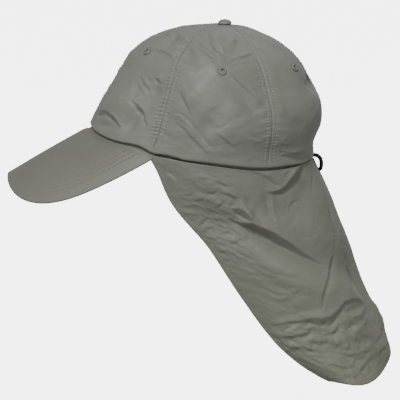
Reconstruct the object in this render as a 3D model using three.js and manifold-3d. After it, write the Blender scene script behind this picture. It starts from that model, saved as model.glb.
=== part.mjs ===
// Legionnaire cap: a six-panel crown, a curved brim, a long neck flap and an elastic loop at the back.
// Millimetres, +Z up. The wearer faces -Y and the wearer's left is +X.
// The origin is the middle of the head opening, level with the back of the rim.

import * as THREE from 'three';
import * as BufferGeometryUtils from 'three/addons/utils/BufferGeometryUtils.js';
import Module from 'manifold-3d';

const wasm = await Module();
wasm.setup();

// Head opening and crown
const RIM_LENGTH = 203;
const RIM_WIDTH = 163;
const RIM_RISE = 29;
const CROWN_HEIGHT = 118;
const TOP_SETBACK = 20;
const CROWN_CLOTH = 1.6;
const PANEL_FULLNESS = 2.4;
const FRONT_SEAM_TURN = 62;
const BACK_SEAM_TURN = 124;
const FRONT_SEAM_BOW = 6;
const SEAM_GAP = 0.3;

// Brim
const BRIM_LENGTH = 75;
const BRIM_WIDTH = 142;
const BRIM_SLOPE = 31.2;
const BRIM_ARCH = 54;
const BRIM_OPENING = 0.05;
const BRIM_BOARD = 2.6;
const BRIM_SEAM = 3;
const BRIM_SEAM_TAPER = 0.6;
const BRIM_SEAT_GAP = 0.6;
const BRIM_END_TURN = 60;
const BRIM_SQUARENESS = 3.5;
const BRIM_ARCH_POWER = 2.4;

// Neck flap
const FLAP_CLOTH = 1.2;
const FLAP_TUCK = 7;
const FLAP_TUCK_GAP = 0.5;
const FLAP_EDGE_DROP = 0.9;
const FLAP_DROP = 180;
const FLAP_SWEEP = 70;
const FLAP_FRONT_TURN = 62;
const HEM_WIDTH = 9;
const HEM_CLOTH = 0.5;

// Eyelets, button and elastic
const EYELET_DIAMETER = 8;
const EYELET_HOLE = 3.6;
const EYELET_METAL = 0.6;
const EYELET_GAP = 0.4;
const BUTTON_DIAMETER = 12.5;
const BUTTON_HEIGHT = 4.6;
const BUTTON_EDGE = 0.8;
const BUTTON_STEM = 4;
const BUTTON_WASHER = 1;
const CORD_DIAMETER = 3.5;
const CORD_GAP = 1.5;
const CORD_NOOK_DROP = 9;

// Shares of the way up the crown or down the flap over which a form fades in or out.
const EDGE_LEVELS_BY = 0.1;
const FOLDS_START_BY = 0.12;
const FOLDS_END_FROM = 0.8;
const FOLDS_END_BY = 0.95;
const FLAP_FOLDS_START_BY = 0.14;

// The crown's cloth is longer from rim to button than the crown is high, by this share.
const CLOTH_OVER_HEIGHT = 1.3;

// Facets
const PANEL_COLUMNS = 12;
const PANEL_ROWS = 13;
const FLAP_COLUMNS = 38;
const FLAP_ROWS = 19;
const BRIM_COLUMNS = 28;
const BRIM_ROWS = 8;
const BUTTON_SIDES = 16;
const EYELET_SIDES = 12;
const CORD_SIDES = 8;
const CORD_STEPS = 30;

// How high the rim stands at each turn from the front, as shares of RIM_RISE.
const RIM_LINE = [
  { turn: 0, height: 1.0 },
  { turn: 30, height: 0.74 },
  { turn: 60, height: 0.42 },
  { turn: 90, height: 0.14 },
  { turn: 120, height: -0.1 },
  { turn: 150, height: -0.07 },
  { turn: 180, height: 0.03 },
];

// Crown profile from the rim to the top: height as a share of the crown's, and how far out the cloth
// stands from the line under the button at the front, the side and the back, as a share of the rim's.
const CROWN_PROFILE = [
  { height: 0.0, front: 1.0, side: 1.0, back: 0.985 },
  { height: 0.12, front: 0.96, side: 1.02, back: 0.985 },
  { height: 0.26, front: 0.905, side: 1.045, back: 1.06 },
  { height: 0.42, front: 0.833, side: 1.04, back: 1.055 },
  { height: 0.58, front: 0.765, side: 0.985, back: 0.943 },
  { height: 0.73, front: 0.69, side: 0.885, back: 0.815 },
  { height: 0.86, front: 0.56, side: 0.715, back: 0.6 },
  { height: 0.945, front: 0.4, side: 0.51, back: 0.36 },
  { height: 0.988, front: 0.235, side: 0.27, back: 0.18 },
  { height: 1.0, front: 0.03, side: 0.03, back: 0.03 },
];

// Dents and soft folds of the crown. turn and rise place the middle; lean turns the long way from
// upright towards the back; long, wide and deep are shares of CROWN_HEIGHT, and a minus depth stands out.
const CROWN_FOLDS = [
  { turn: 46, rise: 0.17, lean: 20, long: 0.12, wide: 0.06, deep: 0.035 },
  { turn: 26, rise: 0.08, lean: 65, long: 0.14, wide: 0.05, deep: 0.025 },
  { turn: 34, rise: 0.27, lean: 70, long: 0.14, wide: 0.07, deep: -0.022 },
  { turn: 44, rise: 0.7, lean: -60, long: 0.14, wide: 0.05, deep: 0.025 },
  { turn: 56, rise: 0.38, lean: 75, long: 0.1, wide: 0.05, deep: 0.02 },
  { turn: 74, rise: 0.62, lean: -52, long: 0.16, wide: 0.05, deep: 0.022 },
  { turn: 80, rise: 0.36, lean: 38, long: 0.2, wide: 0.06, deep: -0.02 },
  { turn: 92, rise: 0.25, lean: 30, long: 0.2, wide: 0.06, deep: 0.022 },
  { turn: 108, rise: 0.66, lean: 40, long: 0.14, wide: 0.05, deep: 0.02 },
  { turn: 112, rise: 0.36, lean: -40, long: 0.15, wide: 0.05, deep: 0.02 },
  { turn: 170, rise: 0.44, lean: 80, long: 0.2, wide: 0.055, deep: 0.03 },
  { turn: 142, rise: 0.24, lean: -45, long: 0.16, wide: 0.06, deep: 0.024 },
  { turn: -38, rise: 0.2, lean: 60, long: 0.15, wide: 0.06, deep: 0.028 },
  { turn: -72, rise: 0.55, lean: 45, long: 0.17, wide: 0.05, deep: 0.022 },
  { turn: -96, rise: 0.3, lean: -35, long: 0.2, wide: 0.06, deep: 0.026 },
  { turn: -140, rise: 0.3, lean: 50, long: 0.16, wide: 0.06, deep: 0.026 },
];

// Sections of the flap from the rim down. drop is a share of FLAP_DROP at the centre back, the side
// and the front edge; back and front are shares of FLAP_SWEEP behind the rim's back and its middle;
// width is a share of the rim's half width.
const FLAP_SECTIONS = [
  { down: 0.0, dropBack: 0.0, dropSide: -0.02, dropFront: -0.07, back: 0.0, front: -0.68, width: 0.975 },
  { down: 0.2, dropBack: 0.19, dropSide: 0.19, dropFront: 0.18, back: 0.215, front: -0.45, width: 0.94 },
  { down: 0.4, dropBack: 0.39, dropSide: 0.41, dropFront: 0.42, back: 0.41, front: 0.05, width: 0.89 },
  { down: 0.6, dropBack: 0.59, dropSide: 0.64, dropFront: 0.67, back: 0.59, front: 0.46, width: 0.85 },
  { down: 0.8, dropBack: 0.79, dropSide: 0.85, dropFront: 0.885, back: 0.8, front: 0.86, width: 0.81 },
  { down: 0.92, dropBack: 0.92, dropSide: 1.01, dropFront: 1.015, back: 0.945, front: 1.22, width: 0.78 },
  { down: 1.0, dropBack: 1.0, dropSide: 1.105, dropFront: 1.1, back: 1.0, front: 1.58, width: 0.76 },
];

// Folds of the flap. side runs from 0 at the centre back to 1 at the left front edge, minus to the
// right; down from the rim to the hem; lean turns the long way from upright towards the back; the
// lengths are shares of FLAP_DROP, and a minus depth stands out.
const FLAP_FOLDS = [
  { side: 0.5, down: 0.44, lean: 60, long: 0.32, wide: 0.08, deep: 0.03 },
  { side: 0.48, down: 0.58, lean: 60, long: 0.32, wide: 0.09, deep: -0.028 },
  { side: 0.17, down: 0.64, lean: -14, long: 0.24, wide: 0.08, deep: 0.03 },
  { side: 0.3, down: 0.13, lean: -40, long: 0.14, wide: 0.07, deep: 0.022 },
  { side: 0.84, down: 0.36, lean: 20, long: 0.22, wide: 0.09, deep: 0.016 },
  { side: 0.66, down: 0.8, lean: 40, long: 0.2, wide: 0.08, deep: 0.016 },
  { side: 0.3, down: 0.86, lean: 50, long: 0.16, wide: 0.08, deep: -0.018 },
  { side: 0.02, down: 0.82, lean: 90, long: 0.14, wide: 0.06, deep: -0.018 },
  { side: -0.34, down: 0.42, lean: 24, long: 0.34, wide: 0.09, deep: 0.03 },
  { side: -0.56, down: 0.6, lean: 40, long: 0.28, wide: 0.09, deep: -0.026 },
  { side: -0.8, down: 0.4, lean: 30, long: 0.24, wide: 0.09, deep: 0.02 },
  { side: -0.2, down: 0.78, lean: 14, long: 0.2, wide: 0.09, deep: -0.02 },
];

// The panels of a side from front to back, and the place of each one's eyelet.
const PANEL_EYELETS = [
  { panel: 'front', turn: 32.5, rise: 0.59 },
  { panel: 'side', turn: 98, rise: 0.535 },
  { panel: 'back', turn: 152, rise: 0.53 },
];

// Route of the elastic loop: x, the distance behind the rim's back, and the height above its edge.
const CORD_POINTS = [
  [-12, -6.3, 4.5],
  [-12, -6.3, 2],
  [-12, -6.2, -0.6],
  [-12, -4, -2.4],
  [-12, -0.4, -2.3],
  [-12.4, 3.2, -3],
  [-13.2, 5.8, -5.4],
  [-14.2, 6.9, -8.9],
  [-15.6, 7, -12.6],
  [-17.6, 6.4, -15.8],
  [-20.6, 4.8, -17.2],
  [-23.6, 2.8, -15.6],
  [-25.4, 1.2, -12],
  [-26, -0.6, -8.4],
  [-26.2, -3, -5.4],
  [-26.2, -6.6, -3.9],
  [-26.2, -9.8, -2.7],
  [-26.2, -10.8, 0.2],
  [-26.2, -10.9, 4.5],
];

const degrees = (angle) => THREE.MathUtils.degToRad(angle);
const halfLength = RIM_LENGTH / 2;
const halfWidth = RIM_WIDTH / 2;

// Half the flap's width round the back at the middle of its drop.
const flapReach = halfWidth + FLAP_SWEEP;

// A smooth curve through the rows of a table, read at a share of the way from its first row to its last.
function readTable(rows, key, share) {
  const place = THREE.MathUtils.clamp(share, 0, 1) * (rows.length - 1);
  const row = Math.min(Math.floor(place), rows.length - 2);
  const step = place - row;
  const at = (index) => rows[THREE.MathUtils.clamp(index, 0, rows.length - 1)][key];
  const before = row === 0 ? 2 * at(0) - at(1) : at(row - 1);
  const after = row === rows.length - 2 ? 2 * at(row + 1) - at(row) : at(row + 2);
  const slopeIn = (at(row + 1) - before) / 2;
  const slopeOut = (after - at(row)) / 2;
  const cube = step * step * step;
  const square = step * step;
  return (2 * cube - 3 * square + 1) * at(row) + (cube - 2 * square + step) * slopeIn
    + (3 * square - 2 * cube) * at(row + 1) + (cube - square) * slopeOut;
}

// The same curve read where one column of the table has a given value.
function readRows(rows, column, value, key) {
  let row = 0;
  while (row < rows.length - 2 && value > rows[row + 1][column]) {
    row += 1;
  }
  const step = (value - rows[row][column]) / (rows[row + 1][column] - rows[row][column]);
  return readTable(rows, key, (row + step) / (rows.length - 1));
}

// How deep the folds of a table reach at a point given in lengths across and up the cloth.
function foldDepth(folds, offset, unit) {
  let depth = 0;
  for (const fold of folds) {
    const { across, up } = offset(fold);
    const lean = degrees(fold.lean);
    const along = (up * Math.cos(lean) - across * Math.sin(lean)) / (fold.long * unit);
    const aside = (across * Math.cos(lean) + up * Math.sin(lean)) / (fold.wide * unit);
    depth += fold.deep * unit * Math.exp(-along * along - aside * aside);
  }
  return depth;
}

function rimHeight(turn) {
  return RIM_RISE * readRows(RIM_LINE, 'turn', Math.abs(turn), 'height');
}

// The turn of a seam: 0 the centre front, 1 the front seam of a side, 2 its back seam, 3 the centre back.
function seamTurn(seam, rise) {
  const bow = seam === 1 ? FRONT_SEAM_BOW * Math.sin(Math.PI * rise) : 0;
  return [0, FRONT_SEAM_TURN, BACK_SEAM_TURN, 180][seam] + bow;
}

// The crown's surface without folds. turn is 0 at the front and 90 at the wearer's left; rise is 0 at
// the rim and 1 under the button.
function crownForm(turn, rise) {
  const away = Math.abs(turn);
  const front = THREE.MathUtils.smoothstep(-away, -100, -40);
  const back = THREE.MathUtils.smoothstep(away, 80, 140);
  const side = 1 - front - back;
  const spread = front * readTable(CROWN_PROFILE, 'front', rise)
    + side * readTable(CROWN_PROFILE, 'side', rise) + back * readTable(CROWN_PROFILE, 'back', rise);
  const angle = degrees(turn);
  const foot = rimHeight(turn);
  const height = readTable(CROWN_PROFILE, 'height', rise);
  const x = halfWidth * Math.sin(angle) * spread;
  const y = TOP_SETBACK + (-halfLength * Math.cos(angle) - TOP_SETBACK) * spread;
  return new THREE.Vector3(x, y, foot + (CROWN_HEIGHT - foot) * height);
}

// The way out of the crown, level at the rim so that its edge lies flat on the brim.
function crownNormal(turn, rise) {
  const step = 0.01;
  const low = Math.max(rise - step, 0);
  const high = Math.min(rise + step, 1);
  const around = crownForm(turn + 1, rise).sub(crownForm(turn - 1, rise));
  const up = crownForm(turn, high).sub(crownForm(turn, low));
  const normal = around.cross(up).normalize();
  normal.z *= THREE.MathUtils.smoothstep(rise, 0, EDGE_LEVELS_BY);
  return normal.normalize();
}

// A point of the crown: fullness between the seams, folds, then the depth below the outer face.
function crownPoint(turn, rise, depth) {
  const away = THREE.MathUtils.clamp(Math.abs(turn), 0, 180);
  const panel = away < seamTurn(1, rise) ? 0 : away < seamTurn(2, rise) ? 1 : 2;
  const first = seamTurn(panel, rise);
  const share = (away - first) / (seamTurn(panel + 1, rise) - first);
  const loose = Math.sin(Math.PI * share) * Math.sin(Math.PI * Math.min(rise, 0.96) ** 0.8);
  const offset = (fold) => ({
    across: -Math.sign(fold.turn) * degrees(turn - fold.turn) * (halfLength + halfWidth) / 2,
    up: (rise - fold.rise) * CROWN_HEIGHT * CLOTH_OVER_HEIGHT,
  });
  const hold = THREE.MathUtils.smoothstep(rise, 0, FOLDS_START_BY)
    * THREE.MathUtils.smoothstep(-rise, -FOLDS_END_BY, -FOLDS_END_FROM);
  const bend = PANEL_FULLNESS * loose - hold * foldDepth(CROWN_FOLDS, offset, CROWN_HEIGHT);
  return crownForm(turn, rise).addScaledVector(crownNormal(turn, rise), bend - depth);
}

// Names, materials and meshes
const finishes = {
  crown: { color: 0x7d7f77, roughness: 0.55, metalness: 0 },
  brim: { color: 0x7a7c74, roughness: 0.55, metalness: 0 },
  flap: { color: 0x71726a, roughness: 0.55, metalness: 0 },
  eyelet: { color: 0x6f7169, roughness: 0.35, metalness: 0.4 },
  button: { color: 0x7d7f77, roughness: 0.55, metalness: 0 },
  cord: { color: 0x141414, roughness: 0.8, metalness: 0 },
};

function makeMesh(name, geometry, finish) {
  const mesh = new THREE.Mesh(geometry, new THREE.MeshStandardMaterial(finishes[finish]));
  mesh.name = name;
  return mesh;
}

// A closed wall over a grid: pointAt gives the outer face for layer 0 and the inner face for layer 1.
function wallGeometry(columns, rows, pointAt) {
  const positions = [];
  const indices = [];
  const index = (column, row, layer) => (layer * (rows + 1) + row) * (columns + 1) + column;
  for (let layer = 0; layer < 2; layer += 1) {
    for (let row = 0; row <= rows; row += 1) {
      for (let column = 0; column <= columns; column += 1) {
        positions.push(...pointAt(column / columns, row / rows, layer).toArray());
      }
    }
  }
  const quad = (a, b, c, d) => indices.push(a, b, c, a, c, d);
  const edge = (from, to) => quad(index(...from, 0), index(...to, 0), index(...to, 1), index(...from, 1));
  for (let row = 0; row < rows; row += 1) {
    for (let column = 0; column < columns; column += 1) {
      const outer = [[column, row], [column + 1, row], [column + 1, row + 1], [column, row + 1]];
      quad(...outer.map(([c, r]) => index(c, r, 0)));
      quad(...outer.reverse().map(([c, r]) => index(c, r, 1)));
    }
    edge([0, row], [0, row + 1]);
    edge([columns, row + 1], [columns, row]);
  }
  for (let column = 0; column < columns; column += 1) {
    edge([column + 1, 0], [column, 0]);
    edge([column, rows], [column + 1, rows]);
  }
  const geometry = new THREE.BufferGeometry();
  geometry.setAttribute('position', new THREE.Float32BufferAttribute(positions, 3));
  geometry.setIndex(indices);
  return facingOut(geometry);
}

// Turns every face round where a closed mesh came out inside out.
function facingOut(geometry) {
  const place = geometry.getAttribute('position');
  const corners = geometry.getIndex().array;
  const corner = (at) => new THREE.Vector3().fromBufferAttribute(place, corners[at]);
  let volume = 0;
  for (let at = 0; at < corners.length; at += 3) {
    volume += corner(at).dot(corner(at + 1).cross(corner(at + 2)));
  }
  if (volume < 0) {
    for (let at = 0; at < corners.length; at += 3) {
      [corners[at], corners[at + 1]] = [corners[at + 1], corners[at]];
    }
  }
  return geometry;
}

function toSolid(geometry) {
  const bare = geometry.clone();
  bare.deleteAttribute('normal');
  bare.deleteAttribute('uv');
  const merged = BufferGeometryUtils.mergeVertices(bare, 1e-4);
  return new wasm.Manifold(new wasm.Mesh({
    numProp: 3,
    vertProperties: new Float32Array(merged.getAttribute('position').array),
    triVerts: new Uint32Array(merged.getIndex().array),
  }));
}

function toGeometry(solid) {
  const mesh = solid.getMesh();
  const geometry = new THREE.BufferGeometry();
  geometry.setAttribute('position', new THREE.BufferAttribute(mesh.vertProperties, 3));
  geometry.setIndex(new THREE.BufferAttribute(mesh.triVerts, 1));
  return geometry;
}

// Eyelets: a flange outside the cloth, a barrel through it and a smaller flange inside.
const eyeletBarrel = EYELET_HOLE + 2 * EYELET_METAL;
const eyeletBore = eyeletBarrel + 2 * EYELET_GAP;

function eyeletGeometry() {
  const hole = EYELET_HOLE / 2;
  const barrel = eyeletBarrel / 2;
  const flange = EYELET_DIAMETER / 2;
  const top = EYELET_GAP;
  const bottom = -CROWN_CLOTH - EYELET_GAP;
  const profile = [
    [hole, bottom - EYELET_METAL],
    [flange - EYELET_METAL, bottom - EYELET_METAL],
    [flange - EYELET_METAL, bottom],
    [barrel, bottom],
    [barrel, top],
    [flange, top],
    [flange - EYELET_METAL, top + EYELET_METAL * 1.4],
    [hole + EYELET_METAL, top + EYELET_METAL * 1.6],
    [hole, top + EYELET_METAL * 0.6],
    [hole, bottom - EYELET_METAL],
  ];
  const points = profile.map(([radius, height]) => new THREE.Vector2(radius, height));
  return new THREE.LatheGeometry(points, EYELET_SIDES).rotateX(Math.PI / 2);
}

// The room that an eyelet takes in its panel: a bore, and the cloth pressed flat under each flange.
function eyeletRoom() {
  const flange = EYELET_DIAMETER / 2 + EYELET_GAP;
  const reach = CROWN_CLOTH * 3;
  const profile = [
    [0, -reach],
    [flange, -reach],
    [flange, -CROWN_CLOTH],
    [eyeletBore / 2, -CROWN_CLOTH],
    [eyeletBore / 2, 0],
    [flange, 0],
    [flange, reach],
    [0, reach],
  ];
  const points = profile.map(([radius, height]) => new THREE.Vector2(radius, height));
  return new THREE.LatheGeometry(points, EYELET_SIDES).rotateX(Math.PI / 2);
}

// Where an eyelet sits: its middle on the cloth's outer face, its axis out of the crown.
function eyeletPlace(turn, rise) {
  const reach = EYELET_DIAMETER / 2;
  const place = crownPoint(turn, rise, 0);
  const turnStep = THREE.MathUtils.radToDeg(reach / halfLength);
  const riseStep = reach / CROWN_HEIGHT;
  const around = crownPoint(turn + turnStep, rise, 0).sub(crownPoint(turn - turnStep, rise, 0));
  const up = crownPoint(turn, rise + riseStep, 0).sub(crownPoint(turn, rise - riseStep, 0));
  const facing = around.cross(up).normalize();
  const spin = new THREE.Quaternion().setFromUnitVectors(new THREE.Vector3(0, 0, 1), facing);
  return { place, spin };
}

// One panel of the crown with the hole for its eyelet, from its rim up to the hole under the button.
// hand is 1 at the wearer's left and -1 at the right.
function panelGeometry(seam, hand, eyelet) {
  const pointAt = (across, rise, layer) => {
    const from = seamTurn(seam, rise);
    const to = seamTurn(seam + 1, rise);
    const nearSeam = crownForm(from, rise).sub(crownForm(from + 1, rise)).length();
    const farSeam = crownForm(to, rise).sub(crownForm(to - 1, rise)).length();
    const start = from + SEAM_GAP / 2 / nearSeam;
    const finish = to - SEAM_GAP / 2 / farSeam;
    return crownPoint(hand * (start + (finish - start) * across), rise, layer * CROWN_CLOTH);
  };
  const panel = toSolid(wallGeometry(PANEL_COLUMNS, PANEL_ROWS, pointAt));
  const { place, spin } = eyeletPlace(hand * eyelet.turn, eyelet.rise);
  const bore = eyeletRoom().applyQuaternion(spin).translate(place.x, place.y, place.z);
  return toGeometry(panel.subtract(toSolid(bore)));
}

// The brim's top face. across is -1 at its right end and 1 at its left; out is 0 at the edge sewn inside
// the crown and 1 at the free edge. It lies just under the crown's lower edge.
function brimTop(across, out) {
  const turn = across * BRIM_END_TURN;
  const seat = crownPoint(turn, 0, CROWN_CLOTH);
  const root = crownPoint(turn, 0, CROWN_CLOTH + BRIM_SEAM * (1 - BRIM_SEAM_TAPER * across ** 6));
  const endBack = -halfLength * Math.cos(degrees(BRIM_END_TURN));
  const reach = halfLength + BRIM_LENGTH + endBack;
  const angle = degrees(90 * across);
  const power = 2 / BRIM_SQUARENESS;
  const edgeX = BRIM_WIDTH / 2 * Math.sign(across) * Math.abs(Math.sin(angle)) ** power;
  const edgeY = endBack - reach * Math.max(Math.cos(angle), 0) ** power;
  const x = root.x + (edgeX - root.x) * out;
  const y = root.y + (edgeY - root.y) * out;
  const fall = Math.tan(degrees(BRIM_SLOPE));
  const arch = (px, py) => (BRIM_ARCH - BRIM_OPENING * (endBack - py))
    * (Math.abs(px) / (BRIM_WIDTH / 2)) ** BRIM_ARCH_POWER;
  const form = (px, py) => RIM_RISE + (halfLength + py) * fall - arch(px, py);
  const sewn = Math.hypot(seat.x - root.x, seat.y - root.y) / Math.hypot(edgeX - root.x, edgeY - root.y);
  const free = THREE.MathUtils.clamp((out - sewn) / (1 - sewn), 0, 1);
  const settle = (seat.z - BRIM_SEAT_GAP - form(seat.x, seat.y)) * (1 - free) ** 2;
  return new THREE.Vector3(x, y, form(x, y) + settle);
}

function brimPoint(across, out, layer) {
  const step = 0.02;
  const inner = Math.max(out - step, 0);
  const outer = Math.min(out + step, 1);
  const left = Math.min(across + step, 1);
  const right = Math.max(across - step, -1);
  const sideways = brimTop(left, out).sub(brimTop(right, out));
  const forward = brimTop(across, outer).sub(brimTop(across, inner));
  const normal = forward.cross(sideways).normalize();
  normal.multiplyScalar(Math.sign(normal.z) || 1);
  return brimTop(across, out).addScaledVector(normal, -layer * BRIM_BOARD);
}

function brimGeometry() {
  const pointAt = (across, out, layer) => brimPoint(2 * across - 1, out, layer);
  return wallGeometry(BRIM_COLUMNS, BRIM_ROWS, pointAt);
}

// The flap's outer face below the rim. side is 0 at the centre back, 1 at the left front edge.
function flapForm(side, down) {
  const share = Math.abs(side);
  const sweep = 180 - FLAP_FRONT_TURN;
  const angle = degrees(180 - sweep * share);
  const read = (key) => readRows(FLAP_SECTIONS, 'down', down, key);
  const back = halfLength + FLAP_SWEEP * read('back');
  const front = FLAP_SWEEP * read('front');
  const length = (back - front) / (1 + Math.cos(degrees(FLAP_FRONT_TURN)));
  const mid = read('dropSide') * 2 - (read('dropBack') + read('dropFront')) / 2;
  const way = Math.sin(degrees(90 * share)) ** 2;
  const drop = read('dropBack') * (1 - way) ** 2 + mid * 2 * way * (1 - way) + read('dropFront') * way ** 2;
  const x = halfWidth * read('width') * Math.sin(angle) * Math.sign(side);
  const y = back - length - length * Math.cos(angle);
  return new THREE.Vector3(x, y, -FLAP_DROP * drop);
}

// A point of the flap: it leaves the inside of the crown's rim and settles into its own form. down
// below 0 is the strip tucked up inside the crown.
function flapPoint(side, down, depth) {
  const turn = Math.sign(side || 1) * (180 - (180 - FLAP_FRONT_TURN) * Math.abs(side));
  const inset = CROWN_CLOTH + FLAP_TUCK_GAP + depth;
  const nookDepth = Math.max(down, 0) * FLAP_DROP / CORD_NOOK_DROP;
  const cordRoom = (CORD_DIAMETER + CORD_GAP) * cordNook(side) * Math.exp(-nookDepth * nookDepth);
  if (down < 0) {
    return crownPoint(turn, -down * FLAP_TUCK / CROWN_HEIGHT, inset + cordRoom);
  }
  const rim = crownPoint(turn, 0, inset + cordRoom);
  rim.z -= FLAP_EDGE_DROP;
  const form = flapForm(side, down);
  const settle = rim.sub(flapForm(side, 0)).multiplyScalar((1 - down) ** 4);
  const offset = (fold) => ({
    across: -Math.sign(fold.side || 1) * (side - fold.side) * flapReach,
    up: (fold.down - down) * FLAP_DROP,
  });
  const hold = THREE.MathUtils.smoothstep(down, 0, FLAP_FOLDS_START_BY);
  const bend = hold * (-foldDepth(FLAP_FOLDS, offset, FLAP_DROP) - depth);
  return form.add(settle).addScaledVector(flapNormal(side, down), bend);
}

function flapNormal(side, down) {
  const step = 0.02;
  const high = Math.max(down - step, 0);
  const low = Math.min(down + step, 1);
  const around = flapForm(side + step, down).sub(flapForm(side - step, down));
  const up = flapForm(side, high).sub(flapForm(side, low));
  return up.cross(around).normalize();
}

// 1 where the elastic leaves the rim at the centre back, fading to each side.
function cordNook(side) {
  const turnAway = (180 - FLAP_FRONT_TURN) * side;
  const across = degrees(turnAway) * halfWidth;
  const middle = (CORD_POINTS[0][0] + CORD_POINTS[CORD_POINTS.length - 1][0]) / 2;
  const reach = Math.abs(CORD_POINTS[0][0] - CORD_POINTS[CORD_POINTS.length - 1][0]) / 2 + CORD_DIAMETER;
  return THREE.MathUtils.smoothstep(-Math.abs(across - middle), -reach * 2, -reach * 1.1);
}

function flapGeometry() {
  const hemDown = 1 - HEM_WIDTH / FLAP_DROP;
  const rowDown = (row) => {
    if (row < 0.5) {
      return -1;
    }
    if (row > FLAP_ROWS - 1.5) {
      return row > FLAP_ROWS - 0.5 ? 1 : hemDown + 0.01;
    }
    return hemDown * ((row - 1) / (FLAP_ROWS - 3));
  };
  return wallGeometry(FLAP_COLUMNS, FLAP_ROWS, (across, down, layer) => {
    const way = rowDown(down * FLAP_ROWS);
    const hem = way > hemDown ? HEM_CLOTH : 0;
    return flapPoint(2 * across - 1, way, layer * (FLAP_CLOTH + hem) - (1 - layer) * hem);
  });
}

function buttonGeometry() {
  const radius = BUTTON_DIAMETER / 2;
  const stem = BUTTON_STEM / 2;
  const seat = SEAM_GAP;
  const inside = -CROWN_CLOTH - SEAM_GAP * 2;
  const washer = inside - BUTTON_WASHER;
  const profile = [
    [0, washer],
    [stem * 2, washer],
    [stem * 2, inside],
    [stem, inside],
    [stem, seat],
    [radius - BUTTON_EDGE, seat],
  ];
  const domeSteps = 5;
  for (let step = 0; step <= domeSteps; step += 1) {
    const angle = degrees(90 * step / domeSteps);
    const height = BUTTON_EDGE + (BUTTON_HEIGHT - BUTTON_EDGE) * Math.sin(angle);
    profile.push([radius * Math.cos(angle) ** 0.8, seat + height]);
  }
  profile[profile.length - 1][0] = 0;
  const points = profile.map(([away, height]) => new THREE.Vector2(away, height));
  return new THREE.LatheGeometry(points, BUTTON_SIDES).rotateX(Math.PI / 2);
}

function cordGeometry() {
  const points = CORD_POINTS.map(([x, behind, above]) => new THREE.Vector3(x, halfLength + behind, above));
  const path = new THREE.CatmullRomCurve3(points, false, 'centripetal');
  const section = new THREE.Shape();
  for (let side = 0; side < CORD_SIDES; side += 1) {
    const angle = degrees(360 * side / CORD_SIDES);
    const x = CORD_DIAMETER / 2 * Math.cos(angle);
    const y = CORD_DIAMETER / 2 * Math.sin(angle);
    if (side === 0) {
      section.moveTo(x, y);
    } else {
      section.lineTo(x, y);
    }
  }
  section.closePath();
  return new THREE.ExtrudeGeometry(section, { steps: CORD_STEPS, extrudePath: path, bevelEnabled: false });
}

const cap = new THREE.Group();
for (const [side, hand] of [['left', 1], ['right', -1]]) {
  for (const [seam, spot] of PANEL_EYELETS.entries()) {
    cap.add(makeMesh(`${spot.panel}_panel_${side}`, panelGeometry(seam, hand, spot), 'crown'));
    const eyelet = makeMesh(`eyelet_${spot.panel}_${side}`, eyeletGeometry(), 'eyelet');
    const { place, spin } = eyeletPlace(hand * spot.turn, spot.rise);
    eyelet.position.copy(place);
    eyelet.quaternion.copy(spin);
    cap.add(eyelet);
  }
}

const button = makeMesh('top_button', buttonGeometry(), 'button');
button.position.set(0, TOP_SETBACK, CROWN_HEIGHT);
cap.add(button);
cap.add(makeMesh('brim', brimGeometry(), 'brim'));
cap.add(makeMesh('neck_flap', flapGeometry(), 'flap'));
cap.add(makeMesh('elastic_loop', cordGeometry(), 'cord'));

export default cap;
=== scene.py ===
"""Legionnaire cap in satin nylon: six-panel crown, stitched brim, hemmed neck flap, elastic loop.

Millimetres inside the form functions, metres in Blender. The wearer faces -Y and the left side is +X.
"""

import math

import bmesh
import bpy
import numpy as np
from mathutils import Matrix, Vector


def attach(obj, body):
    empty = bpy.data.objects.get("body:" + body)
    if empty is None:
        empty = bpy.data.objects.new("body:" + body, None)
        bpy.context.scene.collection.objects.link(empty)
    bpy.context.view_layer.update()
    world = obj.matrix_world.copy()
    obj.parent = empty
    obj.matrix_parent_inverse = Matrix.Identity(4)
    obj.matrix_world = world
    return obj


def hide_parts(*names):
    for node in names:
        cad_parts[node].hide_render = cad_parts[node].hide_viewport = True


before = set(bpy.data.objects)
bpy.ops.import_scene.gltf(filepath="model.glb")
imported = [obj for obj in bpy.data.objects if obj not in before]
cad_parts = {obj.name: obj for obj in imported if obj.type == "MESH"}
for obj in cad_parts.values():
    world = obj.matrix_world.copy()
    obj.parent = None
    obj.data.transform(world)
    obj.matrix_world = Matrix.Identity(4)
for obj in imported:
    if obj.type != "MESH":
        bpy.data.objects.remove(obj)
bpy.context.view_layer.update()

# One millimetre in metres
MM = 0.001

# Sizes of the cap, in millimetres, as in the part
RIM_LENGTH = 203.0
RIM_WIDTH = 163.0
RIM_RISE = 29.0
CROWN_HEIGHT = 118.0
TOP_SETBACK = 20.0
CROWN_CLOTH = 1.6
PANEL_FULLNESS = 2.4
FRONT_SEAM_TURN = 62.0
BACK_SEAM_TURN = 124.0
FRONT_SEAM_BOW = 6.0
BRIM_LENGTH = 75.0
BRIM_WIDTH = 142.0
BRIM_SLOPE = 31.2
BRIM_ARCH = 54.0
BRIM_OPENING = 0.05
BRIM_BOARD = 2.6
BRIM_SEAM = 3.0
BRIM_SEAM_TAPER = 0.6
BRIM_SEAT_GAP = 0.6
BRIM_END_TURN = 60.0
BRIM_SQUARENESS = 3.5
BRIM_ARCH_POWER = 2.4
FLAP_DROP = 180.0
FLAP_SWEEP = 70.0
FLAP_FRONT_TURN = 62.0
FLAP_TUCK = 7.0
FLAP_TUCK_GAP = 0.5
FLAP_EDGE_DROP = 0.9
CORD_ROOM = 5.0
CORD_NOOK_DROP = 9.0
HALF_LENGTH = RIM_LENGTH / 2
HALF_WIDTH = RIM_WIDTH / 2

# Height of the rim as a share of its rise, at even turns from the front to the back
RIM_LINE = [1.0, 0.74, 0.42, 0.14, -0.1, -0.07, 0.03]

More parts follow.
